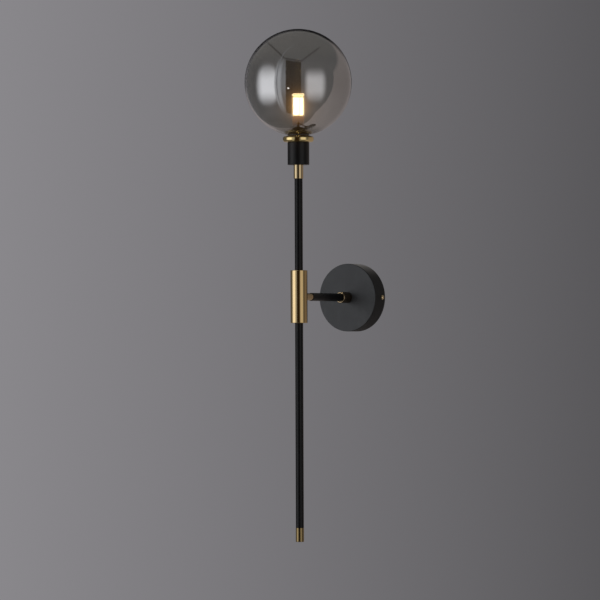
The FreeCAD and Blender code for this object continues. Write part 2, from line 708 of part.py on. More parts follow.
rod_in = d.sleeve_half - d.socket_deep + 0.1
rod_top = d.stem_low + d.stem_socket - 0.1
upper = pole_part("upper_rod", [(d.tube_bore, rod_in), (d.tube_rad, rod_in), (d.tube_rad, rod_top),
                                (d.tube_bore, rod_top)])
keep(upper, "upper_rod")
lower = pole_part("lower_rod", [(d.tube_bore, d.tip_top), (d.tube_rad, d.tip_top), (d.tube_rad, -rod_in),
                                (d.tube_bore, -rod_in)])
keep(lower, "lower_rod")
keep(pole_part("upper_rod_nipple", [(d.nip_bore, 14.0), (d.nip_rad - 0.4, 14.0), (d.nip_rad, 14.4),
                                    (d.nip_rad, 33.6), (d.nip_rad - 0.4, 34.0), (d.nip_bore, 34.0)]),
     "upper_rod_nipple")
keep(pole_part("lower_rod_stud", [(0.0, -34.0), (d.nip_rad - 0.4, -34.0), (d.nip_rad, -33.6),
                                  (d.nip_rad, -14.4), (d.nip_rad - 0.4, -14.0), (0.0, -14.0)]),
     "lower_rod_stud")

tip = pole_part("bottom_finial", [
    (0.0, d.tip_bottom), (d.tip_rad, d.tip_bottom), (d.tip_rad, d.tip_top), (d.nip_rad, d.tip_top),
    (d.nip_rad, d.tip_top + 9.6), (d.nip_rad - 0.4, d.tip_top + 10.0), (0.0, d.tip_top + 10.0)])
bevel_edges(tip, ring_edges(tip, d.tip_rad, d.tip_bottom), 0.5)
bevel_edges(tip, ring_edges(tip, d.tip_rad, d.tip_top), 0.2)
keep(tip, "bottom_finial")

stem = pole_part("stem_ferrule", [
    (d.socket_rad, d.stem_low), (d.stem_rad, d.stem_low), (d.stem_rad, d.cup_low), (d.thread_hole, d.cup_low),
    (d.thread_hole, d.stem_low + d.stem_socket), (d.socket_rad, d.stem_low + d.stem_socket)])
bevel_edges(stem, ring_edges(stem, d.stem_rad, d.stem_low), 0.4)
keep(stem, "stem_ferrule")

# ================================================================ cup and its fixings
floor_top = d.cup_low + d.cup_floor
keep(pole_part("stem_nipple", [
    (d.nip_bore, d.stem_low - 5.0), (d.nip_rad, d.stem_low - 5.0), (d.nip_rad, floor_top + 6.0),
    (d.nip_rad - 0.4, floor_top + 6.4), (d.nip_bore, floor_top + 6.4)]), "stem_nipple")
cup = pole_part("lampholder_cup", [
    (r0, d.cup_low), (d.cup_rad, d.cup_low), (d.cup_rad, d.cup_high), (d.cup_rad - d.cup_gauge, d.cup_high),
    (d.cup_rad - d.cup_gauge, floor_top), (r0, floor_top)])
round_edges(cup, ring_edges(cup, d.cup_rad, d.cup_low), 0.6)
bevel_edges(cup, ring_edges(cup, d.cup_rad, d.cup_high), 0.3)
keep(cup, "lampholder_cup")
keep(toothed_washer("cup_lock_washer", "XY_Plane", "Z_Axis", [
    (d.thread_hole + 0.1, floor_top), (d.wash_rad, floor_top), (d.wash_rad, floor_top + d.wash_gauge),
    (d.thread_hole + 0.1, floor_top + d.wash_gauge)], 0.0, -d.pole_off, 0.0), "cup_lock_washer")
strip_low = floor_top + d.wash_gauge
strip = 1.1
keep(lock_nut("cup_lock_nut", "XY_Plane", strip_low + strip, 0.0, -d.pole_off, 0.0), "cup_lock_nut")

# bent strip that carries the lampholder: base on the washer, two legs, two feet under the flange
yoke = new_body("lampholder_stirrup", 0.0, -d.pole_off, 0.0)
sk = new_sketch(yoke, "stirrup_side", "XZ_Plane")
leg = 11.6
foot = 6.2
strip_wide = 12.0
fix_x = 8.3
polygon(sk, [(-leg, strip_low), (leg, strip_low), (leg, d.shell_low), (foot, d.shell_low),
             (foot, d.shell_low - strip), (leg - strip, d.shell_low - strip), (leg - strip, strip_low + strip),
             (-(leg - strip), strip_low + strip), (-(leg - strip), d.shell_low - strip),
             (-foot, d.shell_low - strip), (-foot, d.shell_low), (-leg, d.shell_low)])
doc.recompute()
f = yoke.newObject("PartDesign::Pad", "stirrup_bend")
f.Profile = sk
f.Length = strip_wide
f.Midplane = True
yoke.Tip = f
doc.recompute()
bends = edges_at(yoke, lambda e: isinstance(e.Curve, Part.Line) and abs(e.Length - strip_wide) < 1e-4
                 and all(abs(abs(v.Point.x) - leg) < 1e-4 for v in e.Vertexes))
round_edges(yoke, bends, 1.3)
sk = new_sketch(yoke, "stirrup_holes", "XY_Plane")
circle(sk, 0.0, 0.0, r0 - 0.05)
circle(sk, fix_x, 0.0, 1.3)
circle(sk, -fix_x, 0.0, 1.3)
doc.recompute()
cut_through(yoke, sk, "holes")
keep(yoke, "lampholder_stirrup")

screws = []
for k, side in enumerate((-1.0, 1.0)):
    shank = cylinder("stirrup_shank_%d" % k, side * fix_x, -d.pole_off, d.shell_low - strip - 0.4, 1.2, 3.2)
    head = cylinder("stirrup_head_%d" % k, side * fix_x, -d.pole_off, d.shell_low - strip - 1.9, 1.95, 1.8)
    groove = box("stirrup_groove_%d" % k, side * fix_x - 2.4, -d.pole_off - 0.3, d.shell_low - strip - 2.2, 4.8, 0.6, 0.9)
    screws.append(cut("stirrup_screw_%d" % k, fuse("stirrup_blank_%d" % k, [shank, head]), groove))
keep(group("stirrup_screw_pair", screws), "stirrup_screws")

# ================================================================ lampholder
ledge = d.holder_low
shell = pole_part("lampholder_shell", [
    (6.7, d.shell_low), (d.shell_flange, d.shell_low), (d.shell_flange, d.shell_low + 1.9),
    (d.shell_rad, d.shell_low + 1.9), (d.shell_rad, d.shell_top), (d.shell_bore, d.shell_top),
    (d.shell_bore, ledge), (6.7, ledge)])
bevel_edges(shell, ring_edges(shell, d.shell_rad, d.shell_top), 0.5)
sk = new_sketch(shell, "shell_screw_holes", "XY_Plane")
circle(sk, fix_x, 0.0, 1.25)
circle(sk, -fix_x, 0.0, 1.25)
sk.AttachmentOffset = Placement(Vector(0, 0, d.shell_low.n), Rotation())
sk.setExpression("AttachmentOffset.Base.z", "dims.shell_low")
doc.recompute()
cut_blind(shell, sk, 1.9, True, "screw_holes")
keep(shell, "lampholder_shell")

holder = pole_part("lampholder_body", [
    (0.0, d.holder_low), (d.holder_rad, d.holder_low), (d.holder_rad, d.holder_top), (0.0, d.holder_top)])
round_edges(holder, ring_edges(holder, d.holder_rad, d.holder_top), 0.9)
sk = new_sketch(holder, "holder_slots", "XY_Plane")
for side in (-1.0, 1.0):
    px = d.pin_pitch * (0.5 * side)
    polygon(sk, [(px - 1.9, -1.4), (px + 1.9, -1.4), (px + 1.9, 1.4), (px - 1.9, 1.4)])
sk.AttachmentOffset = Placement(Vector(0, 0, d.holder_top.n), Rotation())
sk.setExpression("AttachmentOffset.Base.z", "dims.holder_top")
doc.recompute()
cut_blind(holder, sk, 17.7, name="slots")
sk = new_sketch(holder, "holder_wire_holes", "XY_Plane")
circle(sk, d.pin_pitch / 2.0, 0.0, 1.15)
circle(sk, -(d.pin_pitch / 2.0), 0.0, 1.15)
doc.recompute()
cut_through(holder, sk, "wire_holes")
keep(holder, "lampholder_body")

clips = []
for k, side in enumerate((-1.0, 1.0)):
    px = d.pin_pitch * (0.5 * side)
    leaf_a = box("leaf_a_%d" % k, px - 1.6, -d.pole_off - 1.15, 222.4, 3.2, 0.3, 15.5)
    leaf_b = box("leaf_b_%d" % k, px - 1.6, -d.pole_off + 0.85, 222.4, 3.2, 0.3, 15.5)
    base = box("leaf_base_%d" % k, px - 1.6, -d.pole_off - 1.15, 222.1, 3.2, 2.3, 0.4)
    clips.append(fuse("clip_%d" % k, [leaf_a, leaf_b, base]))
keep(group("clip_pair", clips), "lampholder_contacts")

# ================================================================ gallery ring
gal = pole_part("gallery_ring", [
    (d.gal_bore, d.cup_high), (d.cup_rad + 0.4, d.cup_high), (d.gal_rad - 1.3, d.cup_high + 1.0),
    (d.gal_rad, d.cup_high + 3.2), (d.gal_rad, d.cup_high + 6.6), (d.gal_rad - 1.3, d.cup_high + 8.3),
    (d.gal_well + 2.2, d.gal_seat), (d.gal_well, d.gal_seat), (d.gal_well, d.cup_high + d.gal_plate), (d.gal_bore, d.cup_high + d.gal_plate)])
round_edges(gal, ring_edges(gal, d.gal_rad, d.cup_high + 3.2) + ring_edges(gal, d.gal_rad, d.cup_high + 6.6), 0.8)
round_edges(gal, ring_edges(gal, d.gal_rad - 1.3, d.cup_high + 1.0)
            + ring_edges(gal, d.gal_rad - 1.3, d.cup_high + 8.3), 1.0)
keep(gal, "gallery_ring")

gal_nut = pole_part("gallery_ring_nut", [
    (d.shell_rad + 0.05, d.cup_high + d.gal_plate), (d.gal_well - 0.5, d.cup_high + d.gal_plate),
    (d.gal_well - 0.5, d.cup_high + d.gal_plate + 3.2), (d.shell_rad + 0.05, d.cup_high + d.gal_plate + 3.2)])
sk = new_sketch(gal_nut, "gallery_nut_notch", "XZ_Plane")
polygon(sk, [(-1.0, d.cup_high + d.gal_plate + 1.9), (1.0, d.cup_high + d.gal_plate + 1.9),
             (1.0, d.cup_high + d.gal_plate + 4.0), (-1.0, d.cup_high + d.gal_plate + 4.0)])
doc.recompute()
cut_through(gal_nut, sk, "notch")
keep(gal_nut, "gallery_ring_nut")

# ================================================================ gasket and globe
gasket = pole_part("globe_gasket", [
    (d.gasket_in, d.gasket_low), (d.gasket_out, d.gasket_low), (d.gasket_out, d.gasket_high),
    (d.gasket_in, d.gasket_high)])
keep(gasket, "globe_gasket")

globe = new_body("glass_globe", 0.0, -d.pole_off, 0.0)
sk = new_sketch(globe, "globe_outline", "XZ_Plane")
R = d.globe_rad
Ri = d.globe_rad - d.globe_gauge
foot_r = math.sqrt(R.n ** 2 - (d.globe_z.n - d.globe_foot.n) ** 2)
root_z = d.globe_z.n - math.sqrt(Ri.n ** 2 - d.neck_rad.n ** 2)
cz = d.globe_z.n
centre = Vector(0, cz, 0)
a_out = math.atan2(d.globe_foot.n - cz, foot_r)
a_in = math.atan2(root_z - cz, d.neck_rad.n)
sk.addGeometry([
    Part.ArcOfCircle(Part.Circle(centre, Vector(0, 0, 1), R.n), a_out, math.pi / 2),
    Part.LineSegment(Vector(0, cz + R.n, 0), Vector(0, cz + Ri.n, 0)),
    Part.ArcOfCircle(Part.Circle(centre, Vector(0, 0, 1), Ri.n), a_in, math.pi / 2),
    Part.LineSegment(Vector(d.neck_rad.n, root_z, 0), Vector(d.neck_rad.n, d.neck_top.n, 0)),
    Part.LineSegment(Vector(d.neck_rad.n, d.neck_top.n, 0), Vector(d.neck_bore.n, d.neck_top.n, 0)),
    Part.LineSegment(Vector(d.neck_bore.n, d.neck_top.n, 0), Vector(d.neck_bore.n, d.globe_foot.n, 0)),
    Part.LineSegment(Vector(d.neck_bore.n, d.globe_foot.n, 0), Vector(foot_r, d.globe_foot.n, 0)),
], False)
add = sk.addConstraint
add(Sketcher.Constraint("Coincident", 0, 2, 1, 1))
add(Sketcher.Constraint("Coincident", 1, 2, 2, 2))
add(Sketcher.Constraint("Coincident", 2, 1, 3, 1))
add(Sketcher.Constraint("Coincident", 3, 2, 4, 1))
add(Sketcher.Constraint("Coincident", 4, 2, 5, 1))
add(Sketcher.Constraint("Coincident", 5, 2, 6, 1))
add(Sketcher.Constraint("Coincident", 6, 2, 0, 1))
pin_point(sk, 0, 3, 0.0, d.globe_z)
add(Sketcher.Constraint("Coincident", 2, 3, 0, 3))
k = add(Sketcher.Constraint("Radius", 0, R.n))
sk.setExpression("Constraints[%d]" % k, R.t)
k = add(Sketcher.Constraint("Radius", 2, Ri.n))
sk.setExpression("Constraints[%d]" % k, Ri.t)
pin_point(sk, 1, 1, 0.0, 0.0, "x")
pin_point(sk, 1, 2, 0.0, 0.0, "x")
pin_point(sk, 3, 1, d.neck_rad, 0.0, "x")
pin_point(sk, 3, 2, d.neck_rad, d.neck_top)
pin_point(sk, 4, 2, d.neck_bore, d.neck_top)
pin_point(sk, 5, 2, d.neck_bore, d.globe_foot)
pin_point(sk, 6, 2, 0.0, d.globe_foot, "y")
doc.recompute()
rev = globe.newObject("PartDesign::Revolution", "globe_turn")
rev.Profile = sk
rev.ReferenceAxis = (sk, ["V_Axis"])
rev.Angle = 360
globe.Tip = rev
doc.recompute()
round_edges(globe, ring_edges(globe, d.neck_rad, d.neck_top) + ring_edges(globe, d.neck_bore, d.neck_top), 0.9)
round_edges(globe, edges_at(globe, lambda e: isinstance(e.Curve, Part.Circle)
                            and abs(e.Curve.Radius - d.neck_rad.n) < 1e-3
                            and abs(e.Curve.Center.z - root_z) < 1e-2), 2.0)
keep(globe, "glass_globe")

# ================================================================ bulb
base = pole_part("bulb_base", [
    (0.0, d.bulb_low), (d.base_rad - 0.9, d.bulb_low), (d.base_rad, d.bulb_low + 0.9),
    (d.base_rad, d.bulb_step - 1.7), (d.bulb_rad, d.bulb_step - 0.8), (d.bulb_rad, d.bulb_step),
    (d.bulb_rad - d.bulb_gauge - 0.1, d.bulb_step), (d.bulb_rad - d.bulb_gauge - 0.1, d.bulb_step + 2.5),
    (0.0, d.bulb_step + 2.5)])
keep(base, "bulb_base")

loops = []
for k, side in enumerate((-1.0, 1.0)):
    px = d.pin_pitch * (0.5 * side)
    low = d.bulb_low - d.pin_long + 1.0
    legs = [cylinder("pin_leg_%d_%d" % (k, j), px + s, -d.pole_off, low, d.pin_wire, d.pin_long - 1.0)
            for j, s in enumerate((-1.0, 1.0))]
    bow = doc.addObject("Part::Torus", "pin_bow_%d" % k)
    bow.Radius1 = 1.0
    bind(bow, "Radius2", d.pin_wire)
    bow.Angle3 = 180
    bow.Placement = Placement(Vector(px.n, -d.pole_off.n, low.n), Rotation(Vector(1, 0, 0), -90))
    bind(bow, "Placement.Base.x", px)
    bind(bow, "Placement.Base.y", -d.pole_off)
    bind(bow, "Placement.Base.z", low)
    loops.append(fuse("pin_loop_%d" % k, legs + [bow]))
keep(group("pin_pair", loops), "bulb_pins")

core_low = d.bulb_step + 2.5
core = new_body("led_core", 0.0, -d.pole_off, 0.0)
sk = new_sketch(core, "core_square", "XY_Plane")
polygon(sk, [(-d.core_half, -d.core_half), (d.core_half, -d.core_half), (d.core_half, d.core_half),
             (-d.core_half, d.core_half)])
sk.AttachmentOffset = Placement(Vector(0, 0, core_low.n), Rotation())
sk.setExpression("AttachmentOffset.Base.z", core_low.t)
doc.recompute()
pad(core, sk, d.core_top - core_low, name="column")
uprights = edges_at(core, lambda e: abs(e.Length - (d.core_top.n - core_low.n)) < 1e-4)
round_edges(core, uprights, 0.5)
keep(core, "led_core")

strips = []
wide = d.core_half * 2.0 - 0.6
tall = d.core_top - core_low - 2.0
for k, (sx, sy) in enumerate(((0, -1), (1, 0), (0, 1), (-1, 0))):
    if sx == 0:
        y0 = -d.pole_off + (d.core_half if sy > 0 else -(d.core_half + 0.7))
        strips.append(box("strip_%d" % k, -(wide / 2.0), y0, core_low + 1.0, wide, 0.7, tall))
    else:
        x0 = d.core_half if sx > 0 else -(d.core_half + 0.7)
        strips.append(box("strip_%d" % k, x0, -d.pole_off - wide / 2.0, core_low + 1.0, 0.7, wide, tall))
keep(group("strip_group", strips), "led_strips")

cap_rad = d.core_half + 2.4
cap = pole_part("bulb_cap", [(0.0, d.core_top), (cap_rad, d.core_top), (cap_rad, d.core_top + 1.4),
                             (0.0, d.core_top + 1.4)])
bevel_edges(cap, ring_edges(cap, cap_rad, d.core_top + 1.4), 0.4)
keep(cap, "bulb_cap")

cover = pole_part("bulb_cover", [
    (d.bulb_rad - d.bulb_gauge, d.bulb_step), (d.bulb_rad, d.bulb_step), (d.bulb_rad, d.bulb_top),
    (0.0, d.bulb_top), (0.0, d.bulb_top - d.bulb_gauge), (d.bulb_rad - d.bulb_gauge, d.bulb_top - d.bulb_gauge)])
round_edges(cover, ring_edges(cover, d.bulb_rad, d.bulb_top), 1.6)
round_edges(cover, ring_edges(cover, d.bulb_rad - d.bulb_gauge, d.bulb_top - d.bulb_gauge), 0.8)
keep(cover, "bulb_cover")


# ================================================================ wiring
def route(points, radii):
    """Straight runs joined by tangent arcs, as one wire; prints its length and tightest bend."""
    pts = [Vector(*p) for p in points]
    edges = []
    start = pts[0]
    for i in range(1, len(pts) - 1):
        u = (pts[i - 1] - pts[i]).normalize()
        v = (pts[i + 1] - pts[i]).normalize()
        inside_angle = u.getAngle(v)
        back = radii[i - 1] / math.tan(inside_angle / 2)
        a = pts[i] + u * back
        b = pts[i] + v * back
        bis = (u + v).normalize()
        mid = pts[i] + bis * (radii[i - 1] / math.sin(inside_angle / 2) - radii[i - 1])
        edges.append(Part.LineSegment(start, a).toShape())
        edges.append(Part.Arc(a, mid, b).toShape())
        start = b
    edges.append(Part.LineSegment(start, pts[-1]).toShape())
    return Part.Wire(edges)


def conductor(name, points, radii):
    wire = route(points, radii)
    r = d.wire_rad.n
    u = (Vector(*points[1]) - Vector(*points[0])).normalize()
    ring = Part.Wire([Part.Circle(Vector(*points[0]), u, r).toShape()])
    solid = wire.makePipeShell([ring], True, False)
    if solid.Volume < 0:
        solid.reverse()
    want = math.pi * r * r * wire.Length
    print("%s length %.1f radii %s volume ratio %.4f" % (name, wire.Length, radii, solid.Volume / want))
    f = doc.addObject("Part::Feature", name + "_run")
    f.Shape = solid
    f.Placement = Placement(Vector(0, 0, 0), Rotation())
    keep(f, name)


po = d.pole_off.n
g = d.wire_gap.n
pin_x = d.pin_pitch.n / 2.0
conductor("live_wire", [(-9.5, -7.6, -26.0), (-9.5, -7.6, -9.0), (-g, -12.5, 0.0), (-g, -po, 0.0),
                        (-g, -po, 198.5), (-pin_x, -po, 207.0), (-pin_x, -po, 219.5)],
          [6.0, 5.0, d.wire_bend.n, 7.0, 7.0])
conductor("neutral_wire", [(0.0, -7.6, -26.0), (0.0, -7.6, -9.0), (g, -12.5, 0.0), (g, -po, 0.0),
                           (g, -po, 198.5), (pin_x, -po, 207.0), (pin_x, -po, 219.5)],
          [6.0, 5.0, d.wire_bend.n, 7.0, 7.0])
conductor("earth_wire", [(9.5, -7.6, -26.0), (9.5, -7.6, -14.0), (d.earth_x.n, -4.35, -11.5),
                         (d.earth_x.n, -4.35, -4.0)], [3.5, 3.5])

# ================================================================ checks and export
doc.recompute()
bad = []
for obj in doc.Objects:
    if "Invalid" in obj.State or "Error" in obj.State:
        bad.append("%s (%s): %s" % (obj.Label, obj.Name, obj.State))
labels = [o.Label for o in KEPT]
if len(set(labels)) != len(labels):
    bad.append("two sub-parts share a label")
for obj in KEPT:
    s = obj.Shape
    if s.isNull() or not s.isValid() or not s.Solids:
        bad.append("%s has no valid solid" % obj.Label)
    elif any(x.Volume <= 0 for x in s.Solids):
        bad.append("%s has an inside-out solid" % obj.Label)
if bad:
    raise SystemExit("\n".join(bad))

os.makedirs("parts", exist_ok=True)
for obj in KEPT:
    obj.Shape.exportStep("parts/%s.step" % obj.Label)
    bb = obj.Shape.BoundBox
    print("%-22s solids %d  x %.1f..%.1f  y %.1f..%.1f  z %.1f..%.1f  vol %.0f" % (
        obj.Label, len(obj.Shape.Solids), bb.XMin, bb.XMax, bb.YMin, bb.YMax, bb.ZMin, bb.ZMax, obj.Shape.Volume))
print("sub-parts:", len(KEPT))
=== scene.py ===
import json
import math

import bpy
from mathutils import Matrix, Vector


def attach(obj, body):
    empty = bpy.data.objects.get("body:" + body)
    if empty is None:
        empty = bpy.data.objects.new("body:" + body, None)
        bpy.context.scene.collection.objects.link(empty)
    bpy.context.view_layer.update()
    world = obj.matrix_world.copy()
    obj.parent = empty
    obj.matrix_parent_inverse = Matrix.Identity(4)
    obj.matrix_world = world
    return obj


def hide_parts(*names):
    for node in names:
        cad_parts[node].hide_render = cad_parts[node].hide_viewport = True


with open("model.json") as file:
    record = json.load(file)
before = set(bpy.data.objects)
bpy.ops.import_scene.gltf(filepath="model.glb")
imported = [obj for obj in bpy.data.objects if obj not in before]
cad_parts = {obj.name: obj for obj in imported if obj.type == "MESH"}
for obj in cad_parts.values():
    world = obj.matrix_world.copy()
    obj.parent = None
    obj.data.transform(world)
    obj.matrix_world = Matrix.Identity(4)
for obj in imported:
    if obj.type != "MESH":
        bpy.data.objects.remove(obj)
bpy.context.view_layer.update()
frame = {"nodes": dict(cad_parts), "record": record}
NODES = frame["nodes"]

POLE = (0.0, -0.145)          # axis of the upright rod
GLOBE_Z = 0.300
scene = bpy.context.scene
CAMERA_AT = (3.5919, -5.3207, -0.0972)   # a long lens, far away


# ------------------------------------------------------------------ camera
def make_camera():
    yaw, pitch, roll = math.radians(34.7477), math.radians(0.8417), math.radians(-0.224)
    ahead = Vector((-math.sin(yaw) * math.cos(pitch), math.cos(yaw) * math.cos(pitch), math.sin(pitch)))
    right = Vector((math.cos(yaw), math.sin(yaw), 0.0))
    up = right.cross(ahead)
    r = right * math.cos(roll) + up * math.sin(roll)
    u = up * math.cos(roll) - right * math.sin(roll)
    data = bpy.data.cameras.new("view_camera")
    data.sensor_fit = "HORIZONTAL"
    data.sensor_width = 36.0
    data.lens = 4502.26 / 600.0 * 36.0
    data.clip_start, data.clip_end = 0.02, 200.0
    cam = bpy.data.objects.new("view_camera", data)
    scene.collection.objects.link(cam)
    m = Matrix.Identity(4)
    for i in range(3):
        m[i][0], m[i][1], m[i][2] = r[i], u[i], -ahead[i]
    m[0][3], m[1][3], m[2][3] = CAMERA_AT
    cam.matrix_world = m
    scene.camera = cam


make_camera()
scene.view_settings.view_transform = "Standard"


# ------------------------------------------------------------------ node helpers
class Shade:
    """A small helper round one material's node tree."""

    def __init__(self, name):
        self.mat = bpy.data.materials.new(name)
        self.mat.use_nodes = True
        self.nt = self.mat.node_tree
        self.nt.nodes.clear()
        self.out = self.nt.nodes.new("ShaderNodeOutputMaterial")
        self._coord = None

    def node(self, kind, **props):
        n = self.nt.nodes.new(kind)
        for k, v in props.items():
            setattr(n, k, v)
        return n

    def put(self, socket, value):
        if isinstance(value, bpy.types.NodeSocket):
            self.nt.links.new(value, socket)
        elif isinstance(value, (tuple, list)) and len(value) == 3 and socket.type == "RGBA":
            socket.default_value = (*value, 1.0)
        else:
            socket.default_value = value

    def coord(self):
        if self._coord is None:
            self._coord = self.node("ShaderNodeTexCoord").outputs["Object"]
        return self._coord

    def mapped(self, scale=(1, 1, 1), shift=(0, 0, 0), turn=(0, 0, 0), source=None):
        n = self.node("ShaderNodeMapping")
        self.put(n.inputs["Vector"], source or self.coord())
        n.inputs["Scale"].default_value = scale
        n.inputs["Location"].default_value = shift
        n.inputs["Rotation"].default_value = turn
        return n.outputs[0]

    def noise(self, scale, detail=3.0, rough=0.5, stretch=(1, 1, 1), shift=(0, 0, 0), distortion=0.0, source=None):
        n = self.node("ShaderNodeTexNoise")
        self.put(n.inputs["Vector"], self.mapped(stretch, shift, source=source))
        n.inputs["Scale"].default_value = scale
        n.inputs["Detail"].default_value = detail
        n.inputs["Roughness"].default_value = rough
        n.inputs["Distortion"].default_value = distortion
        return n.outputs["Fac"]

    def cells(self, scale, feature="F1", stretch=(1, 1, 1), randomness=1.0):
        n = self.node("ShaderNodeTexVoronoi", feature=feature)
        self.put(n.inputs["Vector"], self.mapped(stretch))
        n.inputs["Scale"].default_value = scale
        n.inputs["Randomness"].default_value = randomness
        return n.outputs["Distance"]

    def span(self, value, a, b, lo, hi, smooth=False):
        n = self.node("ShaderNodeMapRange")
        if smooth:
            n.interpolation_type = "SMOOTHSTEP"
        self.put(n.inputs["Value"], value)
        n.inputs["From Min"].default_value, n.inputs["From Max"].default_value = a, b
        n.inputs["To Min"].default_value, n.inputs["To Max"].default_value = lo, hi
        return n.outputs["Result"]

    def math(self, op, a, b=None, c=None):
        n = self.node("ShaderNodeMath", operation=op)
        for i, v in enumerate((a, b, c)):
            if v is not None:
                self.put(n.inputs[i], v)
        return n.outputs[0]

    def ramp(self, value, stops, mode="LINEAR"):
        n = self.node("ShaderNodeValToRGB")
        n.color_ramp.interpolation = mode
        self.put(n.inputs[0], value)
        el = n.color_ramp.elements
        while len(el) < len(stops):
            el.new(0.5)
        for e, (p, c) in zip(el, stops):
            e.position = p
            e.color = (*c, 1.0)
        return n.outputs[0]

    def blend(self, fac, a, b, mode="MIX"):
        n = self.node("ShaderNodeMix", data_type="RGBA", blend_type=mode)
        self.put(n.inputs[0], fac)
        self.put(n.inputs[6], a)
        self.put(n.inputs[7], b)
        return n.outputs[2]

    def axis(self, which, source=None):
        n = self.node("ShaderNodeSeparateXYZ")
        self.put(n.inputs[0], source or self.coord())
        return n.outputs["XYZ".index(which)]

    def bump(self, height, distance, strength=1.0, normal=None):
        n = self.node("ShaderNodeBump")
        self.put(n.inputs["Height"], height)
        n.inputs["Distance"].default_value = distance
        n.inputs["Strength"].default_value = strength
        if normal is not None:
            self.put(n.inputs["Normal"], normal)
        return n.outputs[0]

    def surface(self, **inputs):
        n = self.node("ShaderNodeBsdfPrincipled")
        for k, v in inputs.items():
            self.put(n.inputs[k.replace("_", " ")], v)
        return n

    def finish(self, shader):
        self.nt.links.new(shader.outputs[0] if hasattr(shader, "outputs") else shader, self.out.inputs["Surface"])
        return self.mat


# ------------------------------------------------------------------ materials
def powder_coat(name, dark, light, rough, grain, depth, spec=0.45, side=False):
    """Baked powder paint: fine orange peel, faint cloudiness and a few duller rubs."""
    s = Shade(name)
    peel = s.noise(grain, 2.0, 0.55)
    fine = s.noise(grain * 3.4, 1.0, 0.5, shift=(3.1, 1.7, 0.4))
    cloud = s.noise(38.0, 4.0, 0.6, shift=(0.3, 0.9, 0.1))
    rub = s.noise(150.0, 3.0, 0.65, stretch=(1.0, 1.0, 0.25), shift=(7.0, 2.0, 5.0))
    colour = s.blend(s.span(cloud, 0.35, 0.65, 0.0, 1.0), dark, light)
    colour = s.blend(s.math("MULTIPLY", s.span(fine, 0.60, 0.74, 0.0, 1.0), 0.25), colour,
                     tuple(min(1.0, c * 1.9) for c in light))
    r = s.math("ADD", s.span(cloud, 0.3, 0.7, rough - 0.04, rough + 0.03), s.span(rub, 0.52, 0.72, 0.0, -0.09))
    height = s.math("ADD", peel, s.math("MULTIPLY", fine, 0.35))
    if side:
        # the canopy's turned edge and side are painted with light and shade: the side is painted darker than the face
        # as painted shade, its top is painted pale as light from above, and it is rougher than the face
        y = s.axis("Y")
        painted_top_light = s.math("POWER", s.span(s.axis("Z"), 0.022, 0.0475, 0.0, 1.0), 3.0)
        flank_painted_light = s.blend(painted_top_light, tuple(c * 0.42 for c in dark), (0.33, 0.322, 0.312))
        # painted shade: a near-black line where the side meets the face, as the shade in that groove
        flank_painted_light = s.blend(s.span(y, -0.0238, -0.0229, 1.0, 0.0, True), flank_painted_light, (0.0012, 0.0012, 0.0014))
        colour = s.blend(s.span(y, -0.0243, -0.0240, 0.0, 1.0, True), colour, flank_painted_light)
        r = s.math("ADD", r, s.span(y, -0.0242, -0.0237, 0.0, 0.18, True))
    return s.finish(s.surface(Base_Color=colour, Roughness=r, Specular_IOR_Level=spec,
                              Normal=s.bump(height, depth, 1.0)))


def brass(name, tone, deep, rough, turned="z", lines=5200.0, depth=2.2e-6, rings=0.35, painted_light=None, coat=0.0,
          centre=(POLE[0], POLE[1], 0.0)):
    """Lathe-turned brass: fine rings round the axis, small tone changes, a few handling marks."""
    s = Shade(name)
    stretch = {"z": (0.02, 0.02, 1.0), "y": (0.02, 1.0, 0.02), "x": (1.0, 0.02, 0.02)}[turned]
    ring = s.noise(lines, 2.0, 0.6, stretch=stretch)
    broad = s.noise(lines * 0.16, 2.0, 0.5, stretch=stretch, shift=(0.2, 0.5, 0.8))
    cloud = s.noise(65.0, 4.0, 0.6)
    mark = s.noise(420.0, 4.0, 0.7, stretch=(1.0, 1.0, 0.35), shift=(4.0, 1.0, 2.0), distortion=0.6)
    spot = s.cells(620.0)
    colour = s.blend(s.span(cloud, 0.32, 0.68, 0.0, 1.0), tone, tuple(0.93 * t + 0.07 * d for t, d in zip(tone, deep)))
    colour = s.blend(s.span(ring, 0.35, 0.65, 0.0, 0.16), colour, deep)
    colour = s.blend(s.math("MULTIPLY", s.span(spot, 0.035, 0.075, 1.0, 0.0), 0.35), colour, deep)
    r = s.math("ADD", s.span(broad, 0.3, 0.7, rough * 0.82, rough * 1.2), s.span(mark, 0.56, 0.74, 0.0, 0.11))
    r = s.math("ADD", r, s.span(cloud, 0.4, 0.75, 0.0, 0.03))
    height = s.math("ADD", s.math("MULTIPLY", ring, rings), broad)
    extra = {}
    if coat:
        extra["Coat_Weight"] = coat
        extra["Coat_Roughness"] = 0.06
    # an optional mask paints light into the brass: the patch takes another tone, brighter for a painted highlight,
    # darker for painted shade, and is made smoother
    if painted_light is not None:
        mask, bright = painted_light(s)
        colour = s.blend(mask, colour, bright)
        r = s.math("SUBTRACT", r, s.math("MULTIPLY", mask, rough * 0.45))
    return s.finish(s.surface(Base_Color=colour, Metallic=1.0, Roughness=r, Normal=s.bump(height, depth, 1.0), **extra))


